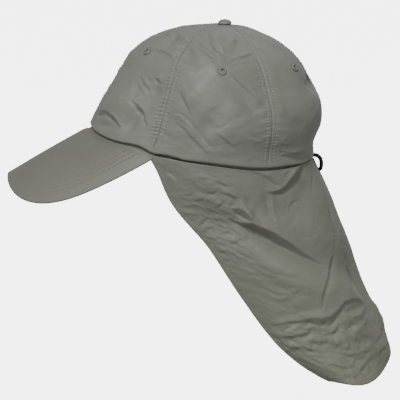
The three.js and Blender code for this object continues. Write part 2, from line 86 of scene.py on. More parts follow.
# Profile of the crown: height, then how wide it is at the front, side and back
CROWN_PROFILE = np.array([
    (0.0, 1.0, 1.0, 0.985),
    (0.12, 0.96, 1.02, 0.985),
    (0.26, 0.905, 1.045, 1.06),
    (0.42, 0.833, 1.04, 1.055),
    (0.58, 0.765, 0.985, 0.943),
    (0.73, 0.69, 0.885, 0.815),
    (0.86, 0.56, 0.715, 0.6),
    (0.945, 0.4, 0.51, 0.36),
    (0.988, 0.235, 0.27, 0.18),
    (1.0, 0.03, 0.03, 0.03),
])

# Broad folds of the crown, as in the part: turn, rise, lean, long, wide, deep
CROWN_FOLDS = [
    (46, 0.17, 20, 0.12, 0.06, 0.035),
    (26, 0.08, 65, 0.14, 0.05, 0.025),
    (34, 0.27, 70, 0.14, 0.07, -0.022),
    (44, 0.7, -60, 0.14, 0.05, 0.025),
    (56, 0.38, 75, 0.1, 0.05, 0.02),
    (74, 0.62, -52, 0.16, 0.05, 0.022),
    (80, 0.36, 38, 0.2, 0.06, -0.02),
    (92, 0.25, 30, 0.2, 0.06, 0.022),
    (108, 0.66, 40, 0.14, 0.05, 0.02),
    (112, 0.36, -40, 0.15, 0.05, 0.02),
    (170, 0.44, 80, 0.2, 0.055, 0.03),
    (142, 0.24, -45, 0.16, 0.06, 0.024),
    (-38, 0.2, 60, 0.15, 0.06, 0.028),
    (-72, 0.55, 45, 0.17, 0.05, 0.022),
    (-96, 0.3, -35, 0.2, 0.06, 0.026),
    (-140, 0.3, 50, 0.16, 0.06, 0.026),
]

# Sections of the flap: down, drop at the back, side and front, reach at the back and front, width
FLAP_SECTIONS = np.array([
    (0.0, 0.0, -0.02, -0.07, 0.0, -0.68, 0.975),
    (0.2, 0.19, 0.19, 0.18, 0.215, -0.45, 0.94),
    (0.4, 0.39, 0.41, 0.42, 0.41, 0.05, 0.89),
    (0.6, 0.59, 0.64, 0.67, 0.59, 0.46, 0.85),
    (0.8, 0.79, 0.85, 0.885, 0.8, 0.86, 0.81),
    (0.92, 0.92, 1.01, 1.015, 0.945, 1.22, 0.78),
    (1.0, 1.0, 1.105, 1.1, 1.0, 1.58, 0.76),
])

# Broad folds of the flap, as in the part: side, down, lean, long, wide, deep
FLAP_FOLDS = [
    (0.5, 0.44, 60, 0.32, 0.08, 0.03),
    (0.48, 0.58, 60, 0.32, 0.09, -0.028),
    (0.17, 0.64, -14, 0.24, 0.08, 0.03),
    (0.3, 0.13, -40, 0.14, 0.07, 0.022),
    (0.84, 0.36, 20, 0.22, 0.09, 0.016),
    (0.66, 0.8, 40, 0.2, 0.08, 0.016),
    (0.3, 0.86, 50, 0.16, 0.08, -0.018),
    (0.02, 0.82, 90, 0.14, 0.06, -0.018),
    (-0.34, 0.42, 24, 0.34, 0.09, 0.03),
    (-0.56, 0.6, 40, 0.28, 0.09, -0.026),
    (-0.8, 0.4, 30, 0.24, 0.09, 0.02),
    (-0.2, 0.78, 14, 0.2, 0.09, -0.02),
]

# Route of the elastic: x, behind the rim's back, above its edge
CORD_POINTS = [
    (-12, -6.3, 4.5), (-12, -6.3, 2), (-12, -6.2, -0.6), (-12, -4, -2.4), (-12, -0.4, -2.3),
    (-12.4, 3.2, -3), (-13.2, 5.8, -5.4), (-14.2, 6.9, -8.9), (-15.6, 7, -12.6), (-17.6, 6.4, -15.8),
    (-20.6, 4.8, -17.2), (-23.6, 2.8, -15.6), (-25.4, 1.2, -12), (-26, -0.6, -8.4), (-26.2, -3, -5.4),
    (-26.2, -6.6, -3.9), (-26.2, -9.8, -2.7), (-26.2, -10.8, 0.2), (-26.2, -10.9, 4.5),
]


def smoothstep(value, low, high):
    t = np.clip((value - low) / (high - low), 0, 1)
    return t * t * (3 - 2 * t)


def bell(value, width):
    """A soft bump, 1 high where the value is 0."""
    return np.exp(-(value / width) ** 2)


def ways(points, axis=0):
    """The way along a line of points, or along each line of a grid of them, from its start."""
    steps = np.linalg.norm(np.diff(points, axis=axis), axis=-1)
    start = np.zeros_like(np.take(steps, [0], axis=axis))
    return np.concatenate([start, np.cumsum(steps, axis=axis)], axis=axis)


def read_table(column, share):
    """A smooth curve through evenly spaced values, read at a share of the way."""
    column = np.asarray(column, float)
    last = len(column) - 2
    place = np.clip(share, 0, 1) * (last + 1)
    row = np.minimum(np.floor(place).astype(int), last)
    step = place - row
    padded = np.concatenate([[2 * column[0] - column[1]], column, [2 * column[-1] - column[-2]]])
    before, here, there, after = (padded[row + k] for k in range(4))
    cube, square = step ** 3, step ** 2
    return ((2 * cube - 3 * square + 1) * here + (cube - 2 * square + step) * (there - before) / 2
            + (3 * square - 2 * cube) * there + (cube - square) * (after - here) / 2)


def read_section(column, down):
    """A column of the flap's table at a way down."""
    rows = FLAP_SECTIONS[:, 0]
    row = np.clip(np.searchsorted(rows, down, side="left") - 1, 0, len(rows) - 2)
    share = (down - rows[row]) / (rows[row + 1] - rows[row])
    return read_table(FLAP_SECTIONS[:, column], (row + share) / (len(rows) - 1))


def unit(v):
    return v / np.maximum(np.linalg.norm(v, axis=-1, keepdims=True), 1e-12)


def seam_turn(seam, rise):
    rise = np.asarray(rise, float)
    bow = FRONT_SEAM_BOW * np.sin(np.pi * rise) if seam == 1 else 0 * rise
    return (0.0, FRONT_SEAM_TURN, BACK_SEAM_TURN, 180.0)[seam] + bow


def rim_height(turn):
    return RIM_RISE * read_table(RIM_LINE, np.abs(turn) / 180)


def crown_form(turn, rise):
    turn, rise = np.broadcast_arrays(np.asarray(turn, float), np.asarray(rise, float))
    away = np.abs(turn)
    front = smoothstep(-away, -100, -40)
    back = smoothstep(away, 80, 140)
    side = 1 - front - back
    height, at_front, at_side, at_back = (read_table(CROWN_PROFILE[:, k], rise) for k in range(4))
    spread = front * at_front + side * at_side + back * at_back
    angle = np.radians(turn)
    foot = rim_height(turn)
    return np.stack([
        HALF_WIDTH * np.sin(angle) * spread,
        TOP_SETBACK + (-HALF_LENGTH * np.cos(angle) - TOP_SETBACK) * spread,
        foot + (CROWN_HEIGHT - foot) * height,
    ], axis=-1)


def crown_normal(turn, rise):
    low, high = np.maximum(rise - 0.01, 0), np.minimum(rise + 0.01, 1)
    around = crown_form(turn + 1, rise) - crown_form(turn - 1, rise)
    up = crown_form(turn, high) - crown_form(turn, low)
    normal = unit(np.cross(around, up))
    normal[..., 2] *= smoothstep(rise, 0, 0.1)
    return unit(normal)


def fold_depth(folds, offset, size):
    depth = 0
    for fold in folds:
        across, up = offset(fold)
        lean = math.radians(fold[2])
        along = (up * math.cos(lean) - across * math.sin(lean)) / (fold[3] * size)
        aside = (across * math.cos(lean) + up * math.sin(lean)) / (fold[4] * size)
        depth = depth + fold[5] * size * np.exp(-along ** 2 - aside ** 2)
    return depth


def crown_bend(turn, rise):
    """How far the cloth stands out of the crown's plain form: fullness between seams, less its folds."""
    away = np.clip(np.abs(turn), 0, 180)
    edges = [seam_turn(seam, rise) for seam in range(4)]
    share = np.zeros(np.broadcast(turn, rise).shape)
    for panel in range(3):
        inside = (away >= edges[panel]) & ((away < edges[panel + 1]) | (panel == 2))
        share = np.where(inside, (away - edges[panel]) / (edges[panel + 1] - edges[panel]), share)
    loose = np.sin(np.pi * share) * np.sin(np.pi * np.minimum(rise, 0.96) ** 0.8)

    def offset(fold):
        across = -np.sign(fold[0]) * np.radians(turn - fold[0]) * (HALF_LENGTH + HALF_WIDTH) / 2
        return across, (rise - fold[1]) * CROWN_HEIGHT * 1.3

    hold = smoothstep(rise, 0, 0.12) * smoothstep(-rise, -0.95, -0.8)
    return PANEL_FULLNESS * loose - hold * fold_depth(CROWN_FOLDS, offset, CROWN_HEIGHT)


def crown_point(turn, rise, depth=0.0):
    turn, rise = np.broadcast_arrays(np.asarray(turn, float), np.asarray(rise, float))
    bend = crown_bend(turn, rise) - depth
    return crown_form(turn, rise) + crown_normal(turn, rise) * bend[..., None]


def brim_top(across, out):
    across, out = np.broadcast_arrays(np.asarray(across, float), np.asarray(out, float))
    turn = across * BRIM_END_TURN
    rim = 0 * turn
    seat = crown_point(turn, rim, CROWN_CLOTH + rim)
    root = crown_point(turn, rim, CROWN_CLOTH + BRIM_SEAM * (1 - BRIM_SEAM_TAPER * across ** 6))
    end_back = -HALF_LENGTH * math.cos(math.radians(BRIM_END_TURN))
    reach = HALF_LENGTH + BRIM_LENGTH + end_back
    angle = np.radians(90 * across)
    power = 2 / BRIM_SQUARENESS
    edge_x = BRIM_WIDTH / 2 * np.sign(across) * np.abs(np.sin(angle)) ** power
    edge_y = end_back - reach * np.maximum(np.cos(angle), 0) ** power
    x = root[..., 0] + (edge_x - root[..., 0]) * out
    y = root[..., 1] + (edge_y - root[..., 1]) * out

    def form(px, py):
        share = np.abs(px) / (BRIM_WIDTH / 2)
        arch = (BRIM_ARCH - BRIM_OPENING * (end_back - py)) * share ** BRIM_ARCH_POWER
        return RIM_RISE + (HALF_LENGTH + py) * math.tan(math.radians(BRIM_SLOPE)) - arch

    sewn = (np.hypot(seat[..., 0] - root[..., 0], seat[..., 1] - root[..., 1])
            / np.hypot(edge_x - root[..., 0], edge_y - root[..., 1]))
    free = np.clip((out - sewn) / (1 - sewn), 0, 1)
    settle = (seat[..., 2] - BRIM_SEAT_GAP - form(seat[..., 0], seat[..., 1])) * (1 - free) ** 2
    return np.stack([x, y, form(x, y) + settle], axis=-1)


def brim_normal(across, out):
    across, out = np.broadcast_arrays(np.asarray(across, float), np.asarray(out, float))
    sideways = brim_top(np.minimum(across + 0.02, 1), out) - brim_top(np.maximum(across - 0.02, -1), out)
    forward = brim_top(across, np.minimum(out + 0.02, 1)) - brim_top(across, np.maximum(out - 0.02, 0))
    normal = unit(np.cross(forward, sideways))
    return normal * np.where(normal[..., 2:] < 0, -1, 1)


def flap_form(side, down):
    side, down = np.broadcast_arrays(np.asarray(side, float), np.asarray(down, float))
    share = np.abs(side)
    angle = np.radians(180 - (180 - FLAP_FRONT_TURN) * share)
    drop_back, drop_side, drop_front, back, front, width = (read_section(k, down) for k in range(1, 7))
    back = HALF_LENGTH + FLAP_SWEEP * back
    length = (back - FLAP_SWEEP * front) / (1 + math.cos(math.radians(FLAP_FRONT_TURN)))
    middle = drop_side * 2 - (drop_back + drop_front) / 2
    way = np.sin(np.radians(90 * share)) ** 2
    drop = drop_back * (1 - way) ** 2 + middle * 2 * way * (1 - way) + drop_front * way ** 2
    return np.stack([
        HALF_WIDTH * width * np.sin(angle) * np.sign(side),
        back - length - length * np.cos(angle),
        -FLAP_DROP * drop,
    ], axis=-1)


def flap_normal(side, down):
    high, low = np.maximum(down - 0.02, 0), np.minimum(down + 0.02, 1)
    around = flap_form(side + 0.02, down) - flap_form(side - 0.02, down)
    up = flap_form(side, high) - flap_form(side, low)
    return unit(np.cross(up, around))


def cord_nook(side):
    across = np.radians((180 - FLAP_FRONT_TURN) * side) * HALF_WIDTH
    first, last = CORD_POINTS[0][0], CORD_POINTS[-1][0]
    reach = abs(first - last) / 2 + 3.5
    return smoothstep(-np.abs(across - (first + last) / 2), -reach * 2, -reach * 1.1)


def flap_point(side, down, depth=0.0):
    """A point of the flap. down below 0 is the strip tucked up inside the crown."""
    side, down, depth = np.broadcast_arrays(*(np.asarray(a, float) for a in (side, down, depth)))
    turn = np.where(side < 0, -1, 1) * (180 - (180 - FLAP_FRONT_TURN) * np.abs(side))
    nook = np.maximum(down, 0) * FLAP_DROP / CORD_NOOK_DROP
    inset = CROWN_CLOTH + FLAP_TUCK_GAP + depth + CORD_ROOM * cord_nook(side) * np.exp(-nook ** 2)
    tucked = crown_point(turn, np.maximum(-down, 0) * FLAP_TUCK / CROWN_HEIGHT, inset)
    rim = crown_point(turn, 0 * down, inset)
    rim[..., 2] -= FLAP_EDGE_DROP
    hung = np.maximum(down, 0)
    settle = (rim - flap_form(side, 0 * down)) * ((1 - hung) ** 4)[..., None]

    def offset(fold):
        across = -np.sign(fold[0]) * (side - fold[0]) * (HALF_WIDTH + FLAP_SWEEP)
        return across, (fold[1] - hung) * FLAP_DROP

    bend = smoothstep(hung, 0, 0.14) * (-fold_depth(FLAP_FOLDS, offset, FLAP_DROP) - depth)
    free = flap_form(side, hung) + settle + flap_normal(side, hung) * bend[..., None]
    return np.where((down < 0)[..., None], tucked, free)


# Camera, at the angle of the photograph

CAMERA_AZIMUTH = 88
CAMERA_ELEVATION = 9
CAMERA_AIM = (0.0063, -0.0025, -0.0403)
CAMERA_DISTANCE = 3.009
CAMERA_LENS = 300


def make_camera():
    azimuth, elevation = math.radians(CAMERA_AZIMUTH), math.radians(CAMERA_ELEVATION)
    back = Vector((math.sin(azimuth) * math.cos(elevation), -math.cos(azimuth) * math.cos(elevation),
                   math.sin(elevation)))
    data = bpy.data.cameras.new("camera")
    data.lens = CAMERA_LENS
    data.sensor_width = 36
    data.clip_end = 100
    camera = bpy.data.objects.new("camera", data)
    bpy.context.scene.collection.objects.link(camera)
    camera.location = Vector(CAMERA_AIM) + back * CAMERA_DISTANCE
    camera.rotation_mode = "QUATERNION"
    camera.rotation_quaternion = (-back).to_track_quat("-Z", "Y")
    bpy.context.scene.camera = camera


make_camera()


# Mesh helpers

def new_piece(name, points, faces, uv=None):
    """A mesh piece from points in millimetres; uv is one pair per point, in millimetres of cloth."""
    mesh = bpy.data.meshes.new(name)
    mesh.from_pydata((np.asarray(points).reshape(-1, 3) * MM).tolist(), [], faces)
    if uv is not None:
        layer = mesh.uv_layers.new(name="cloth")
        corner = np.zeros(len(mesh.loops), np.int32)
        mesh.loops.foreach_get("vertex_index", corner)
        metres = np.asarray(uv).reshape(-1, 2)[corner] * MM
        layer.data.foreach_set("uv", metres.astype(np.float32).ravel())
    mesh.validate()
    mesh.update()
    piece = bpy.data.objects.new(name, mesh)
    bpy.context.scene.collection.objects.link(piece)
    for polygon in mesh.polygons:
        polygon.use_smooth = True
    return piece


def face_outwards(piece):
    bm = bmesh.new()
    bm.from_mesh(piece.data)
    bmesh.ops.recalc_face_normals(bm, faces=bm.faces)
    if bm.calc_volume(signed=True) < 0:
        bmesh.ops.reverse_faces(bm, faces=bm.faces)
    bm.to_mesh(piece.data)
    bm.free()


def quads(a, b, c, d):
    return np.stack([a, b, c, d], axis=-1).reshape(-1, 4).tolist()


def shell_faces(rows, columns):
    """Faces of a closed wall: an outer grid, an inner grid and the four edges between them."""
    outer, inner = np.arange(2 * rows * columns).reshape(2, rows, columns)
    faces = quads(outer[:-1, :-1], outer[:-1, 1:], outer[1:, 1:], outer[1:, :-1])
    faces += quads(inner[:-1, :-1], inner[1:, :-1], inner[1:, 1:], inner[:-1, 1:])
    faces += quads(outer[0, 1:], outer[0, :-1], inner[0, :-1], inner[0, 1:])
    faces += quads(outer[-1, :-1], outer[-1, 1:], inner[-1, 1:], inner[-1, :-1])
    faces += quads(outer[:-1, 0], outer[1:, 0], inner[1:, 0], inner[:-1, 0])
    faces += quads(outer[1:, -1], outer[:-1, -1], inner[:-1, -1], inner[1:, -1])
    return faces


# Cloth relief

# Places on the flap are moved this far, in millimetres, before its facets are read
FAR = 400

# Random heights: how many there are, where reading starts, and how the facets' edges stray
WANDER_KNOTS = 400
WANDER_START = 50
NOISE_KNOTS = 64
STRAY_SCALE = 1.1
FINE_STRAY = 0.3
FINE_STRAY_SCALE = 2.7


def wander(place, pitch, seed):
    """A smooth uneven line: about -1 to 1, changing over lengths of the pitch."""
    knots = np.random.default_rng(seed).uniform(-1, 1, WANDER_KNOTS)
    at = np.asarray(place) / pitch + WANDER_START
    row = np.floor(at).astype(int)
    step = at - row
    ease = step * step * (3 - 2 * step)
    return knots[row % WANDER_KNOTS] * (1 - ease) + knots[(row + 1) % WANDER_KNOTS] * ease


def noise_cell(u, v, seed):
    """The corners of each point's cell in a grid of random heights, and the point's place in its cell."""
    knots = np.random.default_rng(seed).uniform(-1, 1, (NOISE_KNOTS, NOISE_KNOTS))
    column, row = np.floor(u).astype(int), np.floor(v).astype(int)

    def knot(right, below):
        return knots[(row + below) % NOISE_KNOTS, (column + right) % NOISE_KNOTS]

    return knot, u - column, v - row


def soft_noise(u, v, seed):
    """Smooth uneven ground about -1 to 1 high over a grid one unit wide."""
    knot, x, y = noise_cell(u, v, seed)
    x, y = x * x * (3 - 2 * x), y * y * (3 - 2 * y)
    near = knot(0, 0) * (1 - x) + knot(1, 0) * x
    far = knot(0, 1) * (1 - x) + knot(1, 1) * x
    return near * (1 - y) + far * y


def crumple(across, down, wide, tall, lean, seed, stray=0.55):
    """Creased cloth about -1 to 1 high: flat facets, wide by tall millimetres, that meet in sharp folds."""
    turn = math.radians(lean)
    u = (across * math.cos(turn) + down * math.sin(turn)) / wide
    v = (down * math.cos(turn) - across * math.sin(turn)) / tall
    wide_u, wide_v = STRAY_SCALE * u, STRAY_SCALE * v
    fine_u, fine_v = FINE_STRAY_SCALE * u, FINE_STRAY_SCALE * v
    fine = [FINE_STRAY * soft_noise(fine_u, fine_v + shift, seed + more) for shift, more in ((0, 2), (9, 4))]
    u = u + stray * soft_noise(wide_u, wide_v, seed + 1) + fine[0]
    v = v + stray * soft_noise(wide_u + 9, wide_v, seed + 3) + fine[1]
    u = u + v / 2
    knot, x, y = noise_cell(u, v, seed)
    first = knot(0, 0) * (1 - x - y) + knot(1, 0) * x + knot(0, 1) * y
    second = knot(1, 1) * (x + y - 1) + knot(0, 1) * (1 - x) + knot(1, 0) * (1 - y)
    return np.where(x + y < 1, first, second)


# Creases and bands: points for each row of a table, how far they work, how much of each end fades out, and
# how narrow the sharp part of a crease is
CREASE_STEPS = 4
CREASE_REACH = 3
CREASE_FADE = 0.22
SHARP_WIDTH = 0.6
BAND_STEPS = 5
BAND_REACH = 5
BAND_REACH_MORE = 6
BAND_FADE = 0.08

# Least half width of a band, and how far its two sides take to level out: a length and a share of its width
BAND_LEAST = 0.15
BAND_RISE = (1.6, 1.5)
BAND_FALL = (1.2, 1.2)


def line_distance(points, line, normal):
    """Distance of each point from a line through given places, its side of it and its share along it."""
    starts, ends = line[:-1], line[1:]
    lengths = np.linalg.norm(ends - starts, axis=1)
    before = ways(line)
    best = np.full(points.shape[:-1], 1e9)
    side = np.zeros(points.shape[:-1])
    share = np.zeros(points.shape[:-1])
    for k in range(len(starts)):
        way = ends[k] - starts[k]
        along = np.clip(((points - starts[k]) @ way) / max(way @ way, 1e-9), 0, 1)
        gap = points - starts[k] - along[..., None] * way
        distance = np.linalg.norm(gap, axis=-1)
        nearer = distance < best
        best = np.where(nearer, distance, best)
        side = np.where(nearer, np.sum(np.cross(normal, way) * gap, axis=-1), side)
        share = np.where(nearer, (before[k] + along * lengths[k]) / before[-1], share)
    return best, np.where(side < 0, -1.0, 1.0), share


def fine_line(line, steps):
    """Each column of a line's table, with so many values for each row of it."""
    columns = np.array(line, float).T
    fine = np.linspace(0, len(line) - 1, steps * len(line))
    return [np.interp(fine, np.arange(len(line)), column) for column in columns]


def points_near(points, path, reach):
    return np.all((points > path.min(axis=0) - reach) & (points < path.max(axis=0) + reach), axis=-1)


def fade_ends(share, length):
    return smoothstep(share, 0, length) * smoothstep(1 - share, 0, length)


def crease_relief(points, normal, creases, place):
    """Sum of creases: each a line on the cloth, its height, its reach on either side and how sharp it is."""
    relief = np.zeros(points.shape[:-1])
    for line, height, left, right, sharp in creases:
        path = place(*fine_line(line, CREASE_STEPS))
        near = points_near(points, path, CREASE_REACH * max(left, right))
        if not near.any():
            continue
        distance, side, share = line_distance(points[near], path, normal[near])
        width = np.where(side > 0, left, right)
        shape = (1 - sharp) * bell(distance, width) + sharp * np.exp(-distance / (SHARP_WIDTH * width))
        relief[near] += height * shape * fade_ends(share, CREASE_FADE)
    return relief


def band_relief(points, normal, bands, slope, place):
    """Sum of steps in the cloth: each a line of places with half its width there, high on its left side and
    low on its right; a minus width puts the high side on the right."""
    relief = np.zeros(points.shape[:-1])
    for band in bands:
        u, v, half = fine_line(band, BAND_STEPS)
        path = place(u, v)
        near = points_near(points, path, BAND_REACH * np.abs(half).max() + BAND_REACH_MORE)
        if not near.any():
            continue
        distance, side, share = line_distance(points[near], path, normal[near])
        way = ways(path)
        local = np.interp(share, way / way[-1], half)
        signed = distance * side * np.sign(local)
        local = np.maximum(np.abs(local), BAND_LEAST)
        above = np.exp(-np.maximum(signed - local, 0) / (BAND_RISE[0] + BAND_RISE[1] * local))
        below = np.exp(-np.maximum(-signed - local, 0) / (BAND_FALL[0] + BAND_FALL[1] * local))
        shape = np.clip(signed / local, -1, 1) * np.where(signed > 0, above, below)
        relief[near] += slope * local * shape * fade_ends(share, BAND_FADE)
    return relief


# Creases of the crown: a line of (turn, rise), its height, its reach to the left and right, how sharp it is
CROWN_CREASES = [
    ([(97, 0.565), (92, 0.6), (87, 0.635), (81, 0.67), (72, 0.71)], -1.3, 2.6, 4.0, 0.7),
    ([(95, 0.55), (89, 0.59), (82, 0.625), (74, 0.655)], 1.0, 3.0, 6.0, 0.1),
    ([(101, 0.57), (110, 0.613), (120, 0.645), (123, 0.66)], 1.0, 3.0, 2.2, 0.4),
    ([(102, 0.555), (111, 0.59), (121, 0.62)], -0.8, 2.4, 5.0, 0.3),
    ([(101, 0.525), (107, 0.473), (114, 0.417), (120, 0.38)], 1.1, 2.6, 3.6, 0.3),
    ([(99, 0.52), (104, 0.465), (110, 0.41), (116, 0.36)], -0.7, 2.6, 6.0, 0.2),
    ([(98, 0.62), (99, 0.68), (101, 0.75)], -3.4, 9.0, 9.0, 0.0),
    ([(4, 0.27), (20, 0.28), (40, 0.27), (56, 0.26)], 3.4, 11.0, 16.0, 0.0),
    ([(92, 0.52), (82, 0.5), (72, 0.49)], -0.5, 3.0, 8.0, 0.1),
    ([(5, 0.76), (20, 0.755), (35, 0.75), (50, 0.735), (62, 0.72)], -2.6, 2.2, 4.0, 0.6),
    ([(12, 0.72), (34, 0.71), (56, 0.69)], 1.6, 4.0, 5.0, 0.0),
    ([(32, 0.61), (40, 0.605), (47, 0.6), (60, 0.585)], -0.9, 2.2, 4.0, 0.5),
    ([(8, 0.53), (16, 0.55), (24, 0.575), (29, 0.6)], 0.6, 2.4, 3.0, 0.4),
    ([(38, 0.38), (43, 0.315), (49, 0.27), (53, 0.247), (56, 0.22), (58, 0.188)], -1.9, 3.4, 2.4, 0.5),
    ([(40, 0.3), (46, 0.25), (51, 0.215)], 0.8, 4.0, 4.0, 0.0),
    ([(4, 0.11), (12, 0.145), (19, 0.168), (27, 0.17), (33, 0.158), (39, 0.13)], -1.7, 5.0, 3.0, 0.35),
    ([(6, 0.19), (16, 0.215), (27, 0.225), (36, 0.205)], 1.0, 5.0, 4.0, 0.0),
    ([(42, 0.43), (48, 0.395), (54, 0.365), (60, 0.34)], 0.9, 2.4, 3.4, 0.3),
    ([(31, 0.42), (36, 0.375), (42, 0.335), (48, 0.295)], 0.8, 3.6, 4.0, 0.1),
    ([(54, 0.47), (58, 0.452), (62, 0.45)], -0.9, 1.8, 2.0, 0.6),
    ([(70, 0.45), (75, 0.4), (82, 0.345), (86, 0.28)], -0.8, 4.0, 5.0, 0.2),
    ([(74, 0.46), (80, 0.41), (87, 0.36), (92, 0.3)], 0.5, 4.0, 5.0, 0.1),
    ([(70, 0.35), (76, 0.31), (83, 0.27), (90, 0.2), (96, 0.12)], 0.4, 3.4, 5.0, 0.2),
    ([(67, 0.3), (74, 0.255), (82, 0.19)], -0.6, 4.0, 5.0, 0.1),
    ([(74, 0.4), (84, 0.345), (93, 0.3), (102, 0.24), (109, 0.19)], 0.5, 3.4, 5.0, 0.1),
    ([(66, 0.6), (69, 0.57), (76, 0.55)], 0.4, 2.0, 3.0, 0.3),
    ([(136, 0.62), (131, 0.5), (128, 0.36), (128, 0.22)], 0.7, 5.0, 6.0, 0.0),
    ([(140, 0.64), (150, 0.6), (158, 0.53)], -0.8, 3.0, 4.0, 0.3),
    ([(150, 0.5), (158, 0.44), (168, 0.4), (178, 0.39)], -1.2, 3.6, 4.4, 0.3),
    ([(136, 0.3), (146, 0.22), (156, 0.17), (168, 0.15)], -0.8, 5.0, 5.0, 0.1),
    ([(138, 0.07), (148, 0.085), (160, 0.075), (172, 0.06)], -1.0, 3.0, 4.0, 0.3),
    ([(-97, 0.565), (-90, 0.62), (-83, 0.66), (-76, 0.69)], -1.1, 3.0, 2.6, 0.6),
    ([(-101, 0.575), (-110, 0.62), (-119, 0.65)], 0.9, 2.4, 3.0, 0.4),
    ([(-96, 0.52), (-90, 0.46), (-82, 0.4), (-74, 0.36)], 1.0, 3.0, 3.0, 0.3),
    ([(-102, 0.52), (-108, 0.44), (-116, 0.37)], -0.8, 3.0, 4.0, 0.3),
    ([(-6, 0.7), (-24, 0.72), (-44, 0.7), (-60, 0.69)], -1.1, 4.0, 2.4, 0.5),
    ([(-34, 0.6), (-46, 0.57), (-58, 0.53)], -0.8, 3.0, 2.4, 0.5),
    ([(-36, 0.36), (-46, 0.3), (-54, 0.22)], -1.5, 3.0, 3.4, 0.4),
    ([(-6, 0.14), (-18, 0.17), (-30, 0.16), (-40, 0.12)], -1.4, 4.0, 4.0, 0.3),
    ([(-70, 0.42), (-80, 0.34), (-88, 0.24), (-92, 0.14)], 0.8, 4.0, 4.0, 0.2),
    ([(-78, 0.26), (-90, 0.2), (-104, 0.18), (-118, 0.2)], -0.7, 5.0, 5.0, 0.1),
    ([(-130, 0.55), (-142, 0.48), (-156, 0.44), (-170, 0.43)], -1.0, 4.0, 4.0, 0.3),
    ([(-134, 0.26), (-146, 0.2), (-160, 0.18)], -0.8, 5.0, 5.0, 0.1),
]

# Steps of the crown's cloth: each a line of (turn, rise, half width in millimetres); the steepest come first
CROWN_DEEP_BANDS = [
    [(6.75, 0.738, 0.3), (31.5, 0.735, 1.8), (47.5, 0.728, 2.2), (61.25, 0.718, 1.8), (67.5, 0.715, 0.3)],
    [(34.25, 0.605, 0.4), (40.25, 0.608, 0.9), (47, 0.61, 1), (55.25, 0.605, 1), (61.75, 0.595, 0.8),
     (66, 0.59, 0.3)],
    [(52.75, 0.453, 0.4), (57, 0.448, 1.6), (61, 0.435, 0.5)],
    [(41.25, 0.302, 0.5), (45.75, 0.283, 1.3), (48.5, 0.268, 2.5), (51.5, 0.258, 2), (53.5, 0.24, 1.1),
     (54.75, 0.22, 1.2), (56.75, 0.2, 1), (58.25, 0.185, 0.3)],
    [(10.5, 0.122, 1.1), (17.25, 0.158, 2), (22.25, 0.175, 1.8), (27.5, 0.17, 2), (32.75, 0.158, 2.2),
     (37, 0.135, 1.4), (40, 0.113, 0.5)],
    [(76, 0.715, 0.4), (83.5, 0.677, 1.2), (89.75, 0.645, 1.5), (93.5, 0.62, 1.4), (96.25, 0.6, 0.7)],
    [(101.25, 0.583, 0.4), (107, 0.608, 1), (113.25, 0.618, 0.8), (120.5, 0.628, 0.3)],
    [(81.75, 0.792, 0.5), (89.25, 0.725, 1.8), (95, 0.672, 2), (98.75, 0.64, 0.7)],
]
CROWN_BANDS = [
    [(44.25, 0.455, 0.3), (50.25, 0.443, 0.8), (54.75, 0.43, 0.3)],
    [(55, 0.36, -0.4), (50.75, 0.39, -1.1), (45, 0.415, -1.4), (39.25, 0.445, -0.3)],
    [(39.5, 0.403, 0.3), (44.5, 0.37, 1.1), (50.25, 0.345, 0.4)],
    [(11.25, 0.323, 0.5), (16.25, 0.362, 1.2), (17.75, 0.405, 0.5)],
    [(82.5, 0.65, -0.3), (88.25, 0.625, -1), (92.5, 0.603, -1), (96, 0.583, -0.3)],
    [(102.5, 0.565, 0.3), (109, 0.58, 0.8), (116.75, 0.593, 0.3)],
    [(101.75, 0.537, 0.3), (106.75, 0.5, 1.2), (111.5, 0.463, 1.2), (116.5, 0.42, 0.7)],
    [(102.75, 0.51, -0.4), (107, 0.478, -1.4), (112, 0.432, -1.4), (117.25, 0.395, -1.4),
     (120.5, 0.375, -0.4)],
    [(72.5, 0.43, 0.4), (76.75, 0.403, 1), (80, 0.362, 1.4), (82, 0.325, 1), (83.5, 0.28, 0.4)],
    [(76.5, 0.448, -0.4), (82.25, 0.408, -1.3), (87.75, 0.385, -0.9), (90.75, 0.365, -0.3)],
    [(71.25, 0.29, -0.3), (77.5, 0.29, -0.8), (82.75, 0.25, -1.1), (87.25, 0.182, -1.1), (92, 0.12, -0.8),
     (95.25, 0.075, -0.3)],
    [(74.25, 0.247, 0.3), (79.75, 0.217, 0.9), (84.25, 0.16, 1.3), (89, 0.1, 0.9), (91.25, 0.06, 0.4)],
    [(94.75, 0.225, 0.3), (98, 0.195, 1.1), (101.75, 0.163, 0.9), (104.5, 0.133, 0.3)],
    [(110, 0.21, -0.3), (114.75, 0.198, -0.9), (119, 0.182, -0.4)],
    [(130.25, 0.792, 0.4), (138.25, 0.74, 2), (145.25, 0.69, 2), (150, 0.645, 1.6), (153.75, 0.605, 0.5)],
    [(131.25, 0.085, 0.5), (138, 0.075, 2.3), (146.5, 0.062, 3.8), (155.5, 0.06, 3.2), (161.5, 0.058, 1.1)],
    [(129, 0.115, 0.3), (134.75, 0.103, 0.9), (141, 0.092, 0.3)],
    [(149.25, 0.552, 0.3), (151, 0.54, 1.1), (150.25, 0.525, 0.4)],
    [(129.75, 0.168, 0.3), (132.75, 0.155, 0.7), (135.75, 0.147, 0.3)],
    [(89.5, 0.473, 0.3), (91.75, 0.47, 0.6), (94.25, 0.473, 0.3)],
    [(130.75, 0.37, -0.3), (132, 0.333, -0.9), (134.25, 0.292, -0.3)],
]

# Share of the creases' height that is used, and how steep the two sets of bands are
CREASE_DEPTH = 0.5
BAND_SLOPE = 0.55
DEEP_SLOPE = 1.0

# Slack cloth of the crown all over: facet width and height, lean, seed, and how high the facets stand
CROWN_CRUMPLES = [((21, 13, 35, 61), 0.4), ((8, 6, -30, 67), 0.14)]

